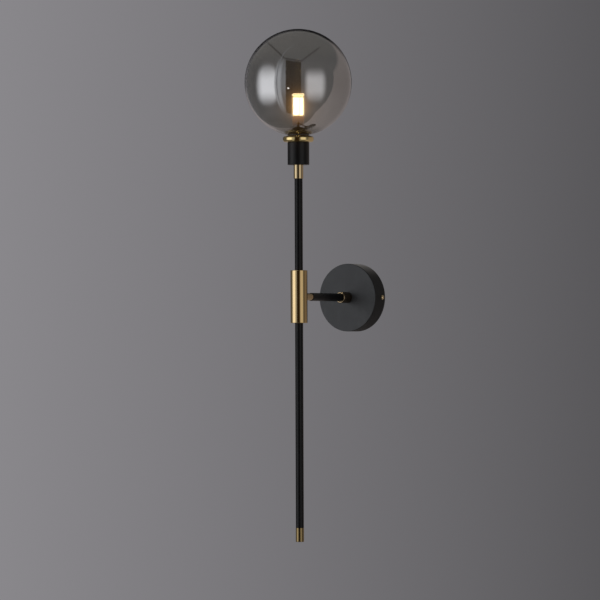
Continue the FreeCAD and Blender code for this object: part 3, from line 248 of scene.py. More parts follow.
def zinc(name, tone=(0.60, 0.60, 0.58), rough=0.34):
    """Bright zinc plate: bluish and yellowish passivation, drawing lines and fine grain."""
    s = Shade(name)
    cloud = s.noise(120.0, 5.0, 0.65)
    hue = s.noise(55.0, 3.0, 0.5, shift=(2, 4, 1))
    grain = s.noise(2600.0, 2.0, 0.5)
    draw = s.noise(900.0, 3.0, 0.6, stretch=(0.05, 1.0, 1.0), shift=(1, 1, 7))
    scratch = s.noise(700.0, 4.0, 0.75, stretch=(1.0, 0.5, 0.08), distortion=0.5)
    colour = s.ramp(hue, [(0.30, (tone[0] * 0.93, tone[1] * 0.98, tone[2] * 1.07)), (0.5, tone),
                          (0.72, (tone[0] * 1.10, tone[1] * 1.05, tone[2] * 0.88))])
    colour = s.blend(s.span(cloud, 0.35, 0.70, 0.0, 0.28), colour, (0.34, 0.34, 0.33))
    r = s.math("ADD", s.span(cloud, 0.3, 0.7, rough - 0.06, rough + 0.12), s.span(scratch, 0.60, 0.72, 0.0, 0.14))
    height = s.math("ADD", s.math("MULTIPLY", draw, 0.7), s.math("MULTIPLY", grain, 0.5))
    return s.finish(s.surface(Base_Color=colour, Metallic=1.0, Roughness=r, Normal=s.bump(height, 3.5e-6, 1.0)))


def moulded(name, tone, shade, rough, grain=1400.0, depth=6e-6, soft=0.0, spec=0.5, metal=0.0, sheen=0.0):
    """Moulded plastic, rubber or ceramic: fine skin texture, cloudy tone, small specks."""
    s = Shade(name)
    skin = s.noise(grain, 3.0, 0.6)
    cloud = s.noise(90.0, 4.0, 0.6)
    specks = s.cells(900.0)
    colour = s.blend(s.span(cloud, 0.3, 0.7, 0.0, 1.0), tone, shade)
    colour = s.blend(s.math("MULTIPLY", s.span(specks, 0.04, 0.09, 1.0, 0.0), 0.4), colour,
                     tuple(c * 0.55 for c in shade))
    r = s.span(skin, 0.3, 0.7, rough - 0.06, rough + 0.06)
    kw = {}
    if soft:
        kw["Subsurface_Weight"] = soft
        kw["Subsurface_Radius"] = (0.002, 0.0016, 0.0012)
        kw["Subsurface_Scale"] = 0.5
    if sheen:
        kw["Sheen_Weight"] = sheen
        kw["Sheen_Roughness"] = 0.5
    return s.finish(s.surface(Base_Color=colour, Roughness=r, Specular_IOR_Level=spec, Metallic=metal,
                              Normal=s.bump(skin, depth, 1.0), **kw))


def sheathing(name, tone, shade, stripe=None):
    """Conductor insulation: soft gloss, faint drawing lines, a helical second colour if it has one."""
    s = Shade(name)
    skin = s.noise(1500.0, 2.0, 0.5)
    cloud = s.noise(200.0, 3.0, 0.6)
    colour = s.blend(s.span(cloud, 0.3, 0.7, 0.0, 1.0), tone, shade)
    if stripe:
        x, y, z = s.axis("X"), s.axis("Y"), s.axis("Z")
        run = s.math("ADD", s.math("MULTIPLY", z, 900.0), s.math("MULTIPLY", s.math("ADD", x, y), 1400.0))
        band = s.math("SINE", run)
        colour = s.blend(s.span(band, -0.12, 0.12, 0.0, 1.0), colour, stripe)
    r = s.span(skin, 0.3, 0.7, 0.32, 0.44)
    return s.finish(s.surface(Base_Color=colour, Roughness=r, Specular_IOR_Level=0.5, Normal=s.bump(skin, 4e-6, 1.0)))


def lamp_rays(s, glass, tint):
    """Lets lamp light pass the glass instead of casting its shadow as if it were solid."""
    through = s.node("ShaderNodeBsdfTransparent")
    through.inputs[0].default_value = (*tint, 1.0)
    path = s.node("ShaderNodeLightPath")
    mix = s.node("ShaderNodeMixShader")
    s.nt.links.new(path.outputs["Is Shadow Ray"], mix.inputs[0])
    s.nt.links.new(glass.outputs[0], mix.inputs[1])
    s.nt.links.new(through.outputs[0], mix.inputs[2])
    return mix


def smoked_outer():
    """Outside of the globe: smoke glass under a thin plating that mirrors outwards only."""
    s = Shade("smoked_glass_plated")
    film = s.noise(22.0, 4.0, 0.55)
    dust = s.noise(2400.0, 3.0, 0.7)
    inside = s.node("ShaderNodeNewGeometry").outputs["Backfacing"]
    colour = s.blend(s.span(film, 0.35, 0.65, 0.0, 1.0), (0.945, 0.955, 0.970), (0.925, 0.935, 0.945))
    colour = s.blend(inside, colour, (0.93, 0.91, 0.88))
    metal = s.math("MULTIPLY", s.span(film, 0.3, 0.7, 0.515, 0.475), s.math("SUBTRACT", 1.0, inside))
    metal = s.math("MULTIPLY", metal, s.span(s.axis("Z"), 0.2285, 0.2385, 0.10, 1.0, True))
    rough = s.math("ADD", s.span(dust, 0.45, 0.75, 0.004, 0.018), s.span(s.axis("Z"), 0.2295, 0.2365, 0.20, 0.0, True))
    # painted reflection: the upper part of the globe's edge, where it is seen nearly edge-on, is painted almost black
    # as a dark reflection
    rim = s.node("ShaderNodeLayerWeight")
    rim.inputs["Blend"].default_value = 0.5
    rim = s.math("MULTIPLY", s.span(rim.outputs["Facing"], 0.66, 0.80, 0.0, 1.0, True),
                 s.span(s.axis("Z"), 0.318, 0.350, 0.0, 0.96, True))
    colour = s.blend(rim, colour, (0.010, 0.010, 0.010))
    wave = s.noise(30.0, 2.0, 0.5, shift=(1.0, 2.0, 3.0))
    glass = s.surface(Base_Color=colour, Metallic=metal, Roughness=rough, IOR=1.16, Transmission_Weight=1.0,
                      Normal=s.bump(wave, 0.6e-4, 1.0))
    return s.finish(lamp_rays(s, glass, (0.50, 0.49, 0.47)))


def smoked_inner():
    s = Shade("smoked_glass_inside")
    film = s.noise(22.0, 4.0, 0.55)
    dust = s.noise(1900.0, 3.0, 0.7, shift=(5, 5, 5))
    colour = s.blend(s.span(film, 0.35, 0.65, 0.0, 1.0), (0.285, 0.262, 0.222), (0.262, 0.240, 0.202))
    glass = s.surface(Base_Color=colour, Roughness=s.span(dust, 0.45, 0.75, 0.003, 0.015), IOR=1.16,
                      Transmission_Weight=1.0)
    return s.finish(lamp_rays(s, glass, (0.60, 0.58, 0.54)))


def clear_glass():
    """The bulb's cover: clear, with a light inner frosting; painted light is put in as emission: none at its foot, a
    warm band along the strips, a dim band just above them and a brighter top.
    """
    s = Shade("bulb_cover_clear")
    haze = s.noise(900.0, 3.0, 0.6)
    colour = s.blend(s.span(haze, 0.3, 0.7, 0.0, 1.0), (0.99, 0.985, 0.97), (0.97, 0.96, 0.94))
    lit = s.span(s.axis("Z"), 0.2515, 0.2548, 0.0, 1.0, True)
    z = s.axis("Z")
    gap = s.math("MULTIPLY", s.span(z, 0.2788, 0.2794, 0.0, 1.0, True), s.span(z, 0.2806, 0.2812, 1.0, 0.0, True))
    # painted light: this emission stands in for the strips' light scattered in the cover
    painted_glow = s.blend(lit, (0.0, 0.0, 0.0), (1.0, 0.80, 0.46))
    painted_glow = s.blend(s.span(z, 0.2808, 0.2814, 0.0, 1.0, True), painted_glow, (1.9, 1.5, 0.85))
    painted_glow = s.blend(gap, painted_glow, (0.42, 0.26, 0.05))
    glass = s.surface(Base_Color=colour, Roughness=s.span(haze, 0.4, 0.8, 0.07, 0.12), IOR=1.22,
                      Transmission_Weight=1.0, Emission_Color=painted_glow, Emission_Strength=0.42)
    return s.finish(lamp_rays(s, glass, (0.95, 0.94, 0.92)))


def phosphor():
    s = Shade("led_phosphor_lit")
    cloud = s.noise(700.0, 2.0, 0.5)
    colour = s.ramp(cloud, [(0.3, (1.0, 0.90, 0.63)), (0.7, (1.0, 0.95, 0.73))])
    return s.finish(s.surface(Base_Color=(0.95, 0.78, 0.30), Roughness=0.45, Emission_Color=colour,
                              Emission_Strength=7.6, Normal=s.bump(cloud, 1e-5, 1.0)))


def led_board():
    s = Shade("led_board_white")
    cloud = s.noise(300.0, 3.0, 0.6)
    colour = s.blend(s.span(cloud, 0.3, 0.7, 0.0, 1.0), (0.86, 0.80, 0.66), (0.80, 0.73, 0.58))
    # painted light: the white board is given emission as if lit by its chips
    painted_glow = s.ramp(cloud, [(0.3, (1.0, 0.80, 0.44)), (0.7, (1.0, 0.86, 0.54))])
    return s.finish(s.surface(Base_Color=colour, Roughness=s.span(cloud, 0.3, 0.7, 0.35, 0.5),
                              Emission_Color=painted_glow, Emission_Strength=2.6))


def amber_base():
    """The bulb's base: cast resin, amber, lit a little from above."""
    s = Shade("bulb_base_amber")
    cloud = s.noise(240.0, 4.0, 0.6)
    skin = s.noise(1500.0, 2.0, 0.5)
    colour = s.blend(s.span(cloud, 0.3, 0.7, 0.0, 1.0), (0.30, 0.130, 0.030), (0.23, 0.095, 0.020))
    rise = s.span(s.axis("Z"), 0.2400, 0.2510, 0.0, 1.0, True)
    painted_glow = s.blend(s.math("MULTIPLY", rise, s.span(cloud, 0.3, 0.7, 0.75, 1.0)), (0.05, 0.011, 0.001), (1.0, 0.38, 0.07))
    return s.finish(s.surface(Base_Color=colour, Roughness=s.span(skin, 0.3, 0.7, 0.22, 0.34), Emission_Color=painted_glow,
                              Emission_Strength=0.38, Normal=s.bump(skin, 4e-6, 1.0)))


def collar_painted_highlight(s):
    """Painted highlight: the collar's front edge is painted bright; the rest keeps its dark lacquer."""
    y = s.axis("Y")
    lip_wobble = s.noise(900.0, 3.0, 0.6)
    edge = s.math("ADD", y, s.math("MULTIPLY", s.math("SUBTRACT", lip_wobble, 0.5), 0.0006))
    return s.span(edge, -0.0424, -0.0428, 0.0, 1.0, True), (0.52, 0.40, 0.24)


M = {}
M["black_paint"] = powder_coat("black_powder_matte", (0.0295, 0.0310, 0.033), (0.039, 0.041, 0.0435), 0.50, 1500.0, 1.1e-5, 0.38, True)
M["black_cup"] = powder_coat("black_powder_cup", (0.0034, 0.0034, 0.0037), (0.0052, 0.0052, 0.0056), 0.38, 1700.0, 6e-6, 0.30)
M["black_paint_tube"] = powder_coat("black_powder_satin", (0.0026, 0.0026, 0.0029), (0.0042, 0.0042, 0.0046), 0.33, 1900.0, 5e-6, 0.25)
def painted_shade_half(s):
    """Painted shade: the half of the satin brass on the camera's right is painted a darker tone."""
    round_by = s.math("ADD", s.math("MULTIPLY", s.math("SUBTRACT", s.axis("X"), POLE[0]), 0.8217),
                      s.math("MULTIPLY", s.math("SUBTRACT", s.axis("Y"), POLE[1]), 0.5699))
    return s.span(round_by, -0.0012, 0.0012, 0.0, 1.0, True), (0.60, 0.435, 0.205)


M["brass_satin"] = brass("brass_turned_satin", (0.86, 0.665, 0.365), (0.52, 0.34, 0.14), 0.085, "z", depth=7e-7, painted_light=painted_shade_half)
M["brass_satin_y"] = brass("brass_turned_stub", (0.54, 0.41, 0.24), (0.30, 0.20, 0.10), 0.22, "y", depth=1e-6)
M["brass_polished"] = brass("brass_polished", (0.97, 0.77, 0.37), (0.62, 0.40, 0.12), 0.045, "z", 7000.0, 3e-7)
M["brass_stem"] = brass("brass_polished_stem", (0.66, 0.52, 0.30), (0.42, 0.29, 0.13), 0.060, "z", 7000.0, 4e-7)
M["brass_tip"] = brass("brass_tip", (0.29, 0.215, 0.100), (0.18, 0.12, 0.050), 0.13, "z", depth=7e-7)
M["brass_screw"] = brass("brass_screw_head", (0.90, 0.72, 0.44), (0.50, 0.34, 0.16), 0.24, "x", 5200.0, 2e-6)
M["brass_dark"] = brass("bronze_collar", (0.20, 0.150, 0.105), (0.11, 0.080, 0.055), 0.40, "y", 4200.0, 1.5e-6, painted_light=collar_painted_highlight)
M["brass_plain"] = brass("brass_machined", (0.74, 0.56, 0.28), (0.42, 0.28, 0.11), 0.28, "z", 3600.0, 3e-6)
M["zinc_steel"] = zinc("zinc_plate")
M["nylon_white"] = moulded("nylon_natural", (0.80, 0.79, 0.74), (0.73, 0.72, 0.66), 0.46, soft=0.15)
M["shell_metal"] = zinc("turned_aluminium", (0.74, 0.73, 0.71), 0.24)
M["ceramic_white"] = moulded("steatite", (0.80, 0.77, 0.70), (0.72, 0.69, 0.61), 0.62, 2200.0, 9e-6)
M["contact_bronze"] = brass("spring_bronze", (0.70, 0.50, 0.32), (0.40, 0.26, 0.15), 0.30, "z", 3000.0, 2e-6)
M["gasket_rubber"] = moulded("silicone_gasket", (0.055, 0.055, 0.056), (0.040, 0.040, 0.042), 0.55, 1800.0, 7e-6, sheen=0.15)
M["bulb_ceramic"] = amber_base()
M["pin_metal"] = zinc("nickel_wire", (0.68, 0.67, 0.64), 0.22)
M["led_board"] = led_board()
M["led_phosphor"] = phosphor()
M["clear_cover"] = clear_glass()
M["wire_brown"] = sheathing("wire_brown", (0.20, 0.085, 0.040), (0.16, 0.065, 0.030))
M["wire_blue"] = sheathing("wire_blue", (0.045, 0.12, 0.42), (0.035, 0.095, 0.34))
M["wire_green"] = sheathing("wire_green_yellow", (0.10, 0.36, 0.08), (0.08, 0.30, 0.06), stripe=(0.78, 0.66, 0.06))
M["smoked_glass"] = smoked_outer()
M["smoked_inner"] = smoked_inner()

SPECIAL = {
    "lampholder_cup": "black_cup", "arm_stub": "brass_satin_y", "canopy_side_screws": "brass_screw",
    "stem_ferrule": "brass_stem", "bottom_finial": "brass_tip",
}
for row in frame["record"]["subparts"]:
    ob = NODES[row["node"]]
    mat = M[SPECIAL.get(row["node"], row["material_slot"])]
    if not ob.material_slots:
        ob.data.materials.append(mat)
    for sl in ob.material_slots:
        sl.material = mat


# ------------------------------------------------------------------ mesh helpers
def new_piece(name, verts, faces, mats, body, stands_for=(), face_mats=None, crisp=32.0):
    me = bpy.data.meshes.new(name)
    me.from_pydata(verts, [], faces)
    me.validate()
    for m in mats:
        me.materials.append(m)
    if face_mats is not None:
        me.polygons.foreach_set("material_index", face_mats)
    me.polygons.foreach_set("use_smooth", [True] * len(me.polygons))
    me.set_sharp_from_angle(angle=math.radians(crisp))
    me.update()
    ob = bpy.data.objects.new(name, me)
    scene.collection.objects.link(ob)
    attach(ob, body)
    if stands_for:
        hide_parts(*stands_for)
    return ob


def turned_mesh(profile, segs, centre, along="z", radius_at=None, closed=True, poles=(False, False), tags=None):
    """Turns a profile of (radius, height) points about an axis. radius_at(r, h, angle, i) may move each point.
    closed joins the last profile point to the first; poles says that the first or last point lies on the axis."""
    verts, faces, marks = [], [], []
    n = len(profile)
    rows = []
    for i, (r, h) in enumerate(profile):
        on_axis = (i == 0 and poles[0]) or (i == n - 1 and poles[1])
        row = []
        for k in range(1 if on_axis else segs):
            a = 2 * math.pi * k / segs
            rr = 0.0 if on_axis else (radius_at(r, h, a, i) if radius_at else r)
            if along == "z":
                p = (centre[0] + rr * math.cos(a), centre[1] + rr * math.sin(a), h)
            else:
                p = (centre[0] + rr * math.cos(a), h, centre[1] - rr * math.sin(a) * -1.0)
            row.append(len(verts))
            verts.append(p)
        rows.append(row)
    pairs = [(i, i + 1) for i in range(n - 1)] + ([(n - 1, 0)] if closed else [])
    for i, j in pairs:
        a, b = rows[i], rows[j]
        for k in range(segs):
            k2 = (k + 1) % segs
            if len(a) == 1 and len(b) == 1:
                continue
            if len(a) == 1:
                f = (a[0], b[k2], b[k])
            elif len(b) == 1:
                f = (a[k], a[k2], b[0])
            else:
                f = (a[k], a[k2], b[k2], b[k])
            faces.append(f if along == "z" else tuple(reversed(f)))
            marks.append(tags[i] if tags else 0)
    return verts, faces, marks


def arc_points(cr, ch, r, a0, a1, n):
    return [(cr + r * math.cos(a0 + (a1 - a0) * t / n), ch + r * math.sin(a0 + (a1 - a0) * t / n)) for t in range(n + 1)]


def outward(ob):
    """Turns every face outward and drops doubled points."""
    import bmesh
    bm = bmesh.new()
    bm.from_mesh(ob.data)
    bmesh.ops.remove_doubles(bm, verts=bm.verts, dist=1e-7)
    bmesh.ops.recalc_face_normals(bm, faces=bm.faces)
    bm.to_mesh(ob.data)
    bm.free()
    ob.data.set_sharp_from_angle(angle=math.radians(32))
    ob.data.update()
    return ob


# ------------------------------------------------------------------ globe with its moulded thread
def make_globe():
    R, T = 0.075, 0.0022
    Ri = R - T
    foot, neck_r, bore, neck_top = 0.2266, 0.0122, 0.0100, 0.2384
    foot_r = math.sqrt(R * R - (GLOBE_Z - foot) ** 2)
    a_foot = math.atan2(foot - GLOBE_Z, foot_r)
    pts, tags = [], []
    outer = arc_points(0.0, GLOBE_Z, R, math.pi / 2, a_foot + 0.012, 104)
    # the outside, from the top down to a small ground lip
    pts += outer
    tags += [0] * len(outer)
    pts += [(foot_r - 0.0004, foot + 0.00025), (foot_r - 0.0010, foot), (bore + 0.0009, foot), (bore + 0.00025, foot + 0.0002)]
    tags += [1, 2, 2, 1]
    # the bore, upwards, with the inside of the coarse moulded thread
    n = 46
    z0, z1 = foot + 0.0008, neck_top - 0.0009
    pts += [(bore, z0 + (z1 - z0) * i / n) for i in range(n + 1)]
    tags += [1] * (n + 1)
    lip = arc_points((bore + neck_r) / 2, neck_top - 0.0009, (neck_r - bore) / 2 - 0.00001, math.pi, 0.0, 12)[1:-1]
    pts += lip
    tags += [1] * len(lip)
    # outside of the neck, down to the root fillet
    root = GLOBE_Z - math.sqrt(Ri * Ri - (neck_r + 0.0020) ** 2)
    z2 = root + 0.0022
    n2 = 36
    pts += [(neck_r, z1 + (z2 - z1) * i / n2) for i in range(n2 + 1)]
    tags += [1] * (n2 + 1)
    fil = arc_points(neck_r + 0.0020, z2, 0.0020, math.pi, 1.5 * math.pi - 0.16, 8)[1:]
    pts += fil
    tags += [1] * len(fil)
    a_in = math.atan2(root - GLOBE_Z, neck_r + 0.0020) + 0.010
    inner = arc_points(0.0, GLOBE_Z, Ri, a_in, math.pi / 2, 100)
    pts += inner
    tags += [1] * len(inner)

    pitch = 0.004
    lip_at = len(pts)

    def radius(r, h, a, i):
        if abs(r - bore) < 1e-6 or abs(r - neck_r) < 1e-6:
            ends = max(0.0, min(1.0, (h - foot - 0.0012) / 0.0018)) * max(0.0, min(1.0, (neck_top - 0.0014 - h) / 0.0018))
            ph = (h / pitch - a / (2 * math.pi)) % 1.0
            ridge = max(0.0, math.cos((ph - 0.5) * 2 * math.pi)) ** 1.6
            return r - 0.00022 * ridge * ends if abs(r - bore) < 1e-6 else r + 0.00050 * (1 - ridge) * ends * 0.6 - 0.0003 * ridge * ends
        return r

    v, f, t = turned_mesh(pts, 160, POLE, "z", radius, closed=False, poles=(True, True), tags=tags)
    ob = new_piece("globe_glass", v, f, [M["smoked_glass"], M["smoked_inner"], M["smoked_inner"]], "globe",
                   ("glass_globe",), t, 40.0)
    return outward(ob)


make_globe()


# ------------------------------------------------------------------ threaded lampholder shell
def make_shell():
    low, top = 0.2048, 0.2370
    pts = [(0.0067, low), (0.0130, low), (0.0130, low + 0.0019), (0.00965, low + 0.0019)]
    z0, z1 = low + 0.0022, top - 0.0005
    n = 132
    pts += [(0.00965, z0 + (z1 - z0) * i / n) for i in range(n + 1)]
    pts += [(0.00915, top), (0.0083, top), (0.0083, 0.2130), (0.0067, 0.2130)]
    pitch = 0.004

    def radius(r, h, a, i):
        if abs(r - 0.00965) < 1e-7 and h > low + 0.0100:
            ends = max(0.0, min(1.0, (h - low - 0.0110) / 0.002)) * max(0.0, min(1.0, (top - 0.0008 - h) / 0.0015))
            ph = (h / pitch - a / (2 * math.pi)) % 1.0
            return r - 0.00062 * ends * max(0.0, math.cos((ph - 0.5) * 2 * math.pi)) ** 0.8
        return r

    v, f, t = turned_mesh(pts, 96, POLE, "z", radius)
    return outward(new_piece("threaded_shell", v, f, [M["shell_metal"]], "lamp", ("lampholder_shell",)))


make_shell()


# ------------------------------------------------------------------ lit strips: board, chips and their domes
def make_strips():
    verts, faces, marks = [], [], []

    def block(u0, u1, w0, w1, z0, z1, place, tag, bulge=0.0, inset=0.0):
        """A small slab; bulge raises the outer face in the middle as a poured dome."""
        nu, nz = (5, 5) if bulge else (1, 1)
        base = len(verts)
        grid = []
        for j in range(nz + 1):
            line = []
            for i in range(nu + 1):
                fu, fz = i / nu, j / nz
                u = u0 + inset + (u1 - u0 - 2 * inset) * fu
                z = z0 + inset + (z1 - z0 - 2 * inset) * fz
                lift = bulge * (1 - (2 * fu - 1) ** 2) ** 0.5 * (1 - (2 * fz - 1) ** 2) ** 0.5 if bulge else 0.0
                line.append(len(verts))
                verts.append(place(u, w1 + lift, z))
            grid.append(line)
        for j in range(nz):
            for i in range(nu):
                faces.append((grid[j][i], grid[j][i + 1], grid[j + 1][i + 1], grid[j + 1][i]))
                marks.append(tag)
        # sides down to the base, and the base itself
        c = []
        for u, z in ((u0, z0), (u1, z0), (u1, z1), (u0, z1)):
            c.append(len(verts))
            verts.append(place(u, w0, z))
        rim = [grid[0], [grid[j][nu] for j in range(nz + 1)], list(reversed(grid[nz])),
               [grid[j][0] for j in range(nz, -1, -1)]]
        for k, edge in enumerate(rim):
            a, b = c[k], c[(k + 1) % 4]
            faces.append(tuple([a, b] + list(reversed(edge))))
            marks.append(tag)
        faces.append((c[3], c[2], c[1], c[0]))
        marks.append(tag)
        return base

    low, high = 0.2544, 0.2788
    core, deep = 0.00495, 0.0007
    for turn in range(4):
        ca, sa = round(math.cos(turn * math.pi / 2)), round(math.sin(turn * math.pi / 2))

        def place(u, w, z, ca=ca, sa=sa):
            return (POLE[0] + ca * u - sa * w, POLE[1] + sa * u + ca * w, z)

        block(-0.00465, 0.00465, core, core + 0.00045, low, high, place, 0)
        rows = 9
        step = (high - low - 0.0010) / rows
        for col in (-1, 1):
            for r in range(rows):
                z = low + 0.0005 + step * r
                u0 = col * 0.00232 - 0.00195
                block(u0, u0 + 0.0039, core + 0.00045, core + deep, z + 0.00012, z + step - 0.00012, place, 1, 0.00022, 0.00012)
    ob = new_piece("lit_strips", verts, faces, [M["led_board"], M["led_phosphor"]], "bulb",
                   ("led_strips",), marks, 30.0)
    return outward(ob)


make_strips()


# ------------------------------------------------------------------ threaded tube behind the canopy
def make_nipple():
    y0, y1 = -0.0400, -0.0175
    r, bore = 0.00395, 0.0027
    pts = [(bore, y0), (r - 0.0004, y0)]
    n = 150
    pts += [(r, y0 + 0.0003 + (y1 - y0 - 0.0006) * i / n) for i in range(n + 1)]
    pts += [(r - 0.0004, y1), (bore, y1)]
    pitch = 0.001

    def radius(q, h, a, i):
        if abs(q - r) < 1e-7:
            ends = min(1.0, (h - y0) / 0.0008, (y1 - h) / 0.0008)
            ph = (h / pitch - a / (2 * math.pi)) % 1.0
            return r - 0.00055 * (abs(ph - 0.5) * 2) - 0.0002 * (1 - ends)
        return q

    v, f, t = turned_mesh(pts, 48, (0.0, 0.0), "y", radius)
    return outward(new_piece("canopy_thread", v, f, [M["zinc_steel"]], "lamp", ("canopy_nipple",)))


make_nipple()


# ------------------------------------------------------------------ studio
def make_world():
    w = bpy.data.worlds.new("studio")
    scene.world = w
    w.use_nodes = True
    nt = w.node_tree
    nt.nodes.clear()
    out = nt.nodes.new("ShaderNodeOutputWorld")
    s = Shade.__new__(Shade)
    s.nt, s._coord = nt, None
    coord = nt.nodes.new("ShaderNodeTexCoord").outputs["Generated"]
    split = s.node("ShaderNodeSeparateXYZ")
    s.put(split.inputs[0], coord)
    x, y, z = split.outputs

    # the room as a ball at the globe's place shows it: (u, v) is the spot on that ball, each from -1 to 1
    front = (Vector(CAMERA_AT) - Vector((POLE[0], POLE[1], GLOBE_Z))).normalized()
    up = (Vector((0, 0, 1)) - front * front.z).normalized()
    side = up.cross(front)

    def vmath(op, a, b=None):
        n = s.node("ShaderNodeVectorMath", operation=op)
        s.put(n.inputs[0], a)
        if b is not None:
            if isinstance(b, Vector):
                n.inputs[1].default_value = b
            else:
                s.put(n.inputs[1], b)
        return n.outputs["Value"] if op == "DOT_PRODUCT" else n.outputs[0]

    half = vmath("NORMALIZE", vmath("ADD", coord, front))
    u = vmath("DOT_PRODUCT", half, side)
    v = vmath("DOT_PRODUCT", half, up)

    # azimuth on the ball: an upright edge of the room bends round the ball
    turn = s.math("ARCTAN2", vmath("DOT_PRODUCT", coord, side), vmath("DOT_PRODUCT", coord, front))
    turn = s.math("SINE", s.math("MULTIPLY", turn, 0.5))
    bent = s.math("ADD", s.math("MULTIPLY", u, 0.35), s.math("MULTIPLY", turn, 0.65))
    slight = s.math("ADD", s.math("MULTIPLY", u, 0.70), s.math("MULTIPLY", turn, 0.30))

    def edge(value, at, soft, rising=True):
        lo, hi = (0.0, 1.0) if rising else (1.0, 0.0)
        return s.span(value, at - soft, at + soft, lo, hi, True)

    def window(u0, u1, v0, v1, su, sv, across=None, along=None):
        """1 inside a patch of the room, with soft edges su and sv half wide."""
        across, along = across or u, along or v
        f = s.math("MULTIPLY", edge(across, u0, su), edge(across, u1, su, False))
        g = s.math("MULTIPLY", edge(along, v0, sv), edge(along, v1, sv, False))
        return s.math("MULTIPLY", f, g)

    def line(a, b, wide):
        """A dark crease between two spots of the room."""
        (u0, v0), (u1, v1) = a, b
        long = math.hypot(u1 - u0, v1 - v0)
        du, dv = (u1 - u0) / long, (v1 - v0) / long
        t = s.math("ADD", s.math("MULTIPLY", s.math("SUBTRACT", u, u0), du), s.math("MULTIPLY", s.math("SUBTRACT", v, v0), dv))
        q = s.math("SUBTRACT", s.math("MULTIPLY", s.math("SUBTRACT", u, u0), dv), s.math("MULTIPLY", s.math("SUBTRACT", v, v0), du))
        near = s.span(s.math("ABSOLUTE", q), 0.0, wide, 1.0, 0.0, True)
        return s.math("MULTIPLY", near, s.math("MULTIPLY", edge(t, 0.0, 0.02), edge(t, long, 0.06, False)))

    # walls and ceiling
    colour = s.ramp(s.span(v, -1.0, 1.0, 0.0, 1.0),
                    [(0.0, (0.095, 0.090, 0.086)), (0.30, (0.095, 0.094, 0.096)), (0.62, (0.088, 0.088, 0.090)),
                     (0.80, (0.128, 0.124, 0.118)), (1.0, (0.140, 0.135, 0.128))])
    colour = s.blend(window(-0.60, 0.70, -0.62, 0.40, 0.10, 0.10), colour, (0.125, 0.121, 0.120))
    # pale jamb beside the doorway
    jamb = s.math("MULTIPLY", edge(bent, -0.350, 0.014), edge(u, -0.235, 0.012, False))
    jamb = s.math("MULTIPLY", jamb, s.math("MULTIPLY", edge(v, -0.22, 0.20), edge(v, 0.28, 0.24, False)))
    colour = s.blend(jamb, colour, (0.245, 0.25, 0.262))
    # doorway
    lintel = s.math("ADD", v, s.math("MULTIPLY", s.math("ADD", u, 0.25), 0.1696))
    colour = s.blend(window(-0.228, 0.052, -0.56, 0.425, 0.012, 0.018, along=lintel), colour, (0.016, 0.010, 0.005))
    colour = s.blend(s.math("MULTIPLY", window(-0.228, 0.052, -0.40, 0.425, 0.012, 0.06, along=lintel), edge(u, -0.06, 0.02)),
                     colour, (0.024, 0.015, 0.007))
    # creases between walls and ceiling
    for a, b, dark in (((-0.25, 0.45), (-0.58, 0.76), 0.75), ((0.060, 0.398), (0.40, 0.65), 0.55), ((-0.25, 0.45), (0.060, 0.398), 0.8)):
        colour = s.blend(s.math("MULTIPLY", line(a, b, 0.030), dark), colour, (0.020, 0.018, 0.017))
    # large soft box on the left, with the lit strip of wall beyond it
    def oval(uc, vc, a, b):
        """1 well inside an oval patch, 0 well outside it."""
        du = s.math("POWER", s.math("DIVIDE", s.math("SUBTRACT", u, uc), a), 2.0)
        dv = s.math("POWER", s.math("DIVIDE", s.math("SUBTRACT", v, vc), b), 2.0)
        return s.span(s.math("POWER", s.math("ADD", du, dv), 0.5), 0.80, 1.22, 1.0, 0.0, True)

    dome = s.math("MULTIPLY", edge(v, -0.315, 0.175), edge(v, 0.225, 0.215, False))
    dome = s.math("MULTIPLY", dome, oval(-0.575, -0.055, 0.215, 0.41))
    box = s.math("MULTIPLY", edge(slight, -0.742, 0.085), edge(slight, -0.418, 0.030, False))
    colour = s.blend(s.math("MULTIPLY", box, dome), colour, (1.10, 1.10, 1.13))
    tall = s.math("MULTIPLY", edge(v, -0.42, 0.20), edge(v, 0.30, 0.20, False))
    colour = s.blend(s.math("MULTIPLY", window(-0.440, -0.325, -2.0, 2.0, 0.024, 0.1, across=bent), tall), colour, (0.47, 0.48, 0.50))
    colour = s.blend(s.math("MULTIPLY", s.span(s.math("ABSOLUTE", s.math("ADD", bent, 0.398)), 0.0, 0.016, 1.0, 0.0, True), edge(v, -0.52, 0.1)),
                     colour, (0.20, 0.205, 0.215))
    # smaller soft box on the right
    dome = s.math("MULTIPLY", edge(v, -0.28, 0.160), edge(v, 0.165, 0.140, False))
    dome = s.math("MULTIPLY", dome, oval(0.315, -0.020, 0.225, 0.39))
    box = s.math("MULTIPLY", edge(slight, 0.150, 0.060), edge(slight, 0.488, 0.070, False))
    colour = s.blend(s.math("MULTIPLY", box, dome), colour, (0.72, 0.70, 0.70))
    # a small bare lamp
    spot = s.math("POWER", s.math("ADD", s.math("POWER", s.math("ADD", u, 0.184), 2.0), s.math("POWER", s.math("ADD", v, 0.105), 2.0)), 0.5)
    colour = s.blend(s.span(spot, 0.010, 0.022, 1.0, 0.0, True), colour, (1.8, 1.7, 1.6))

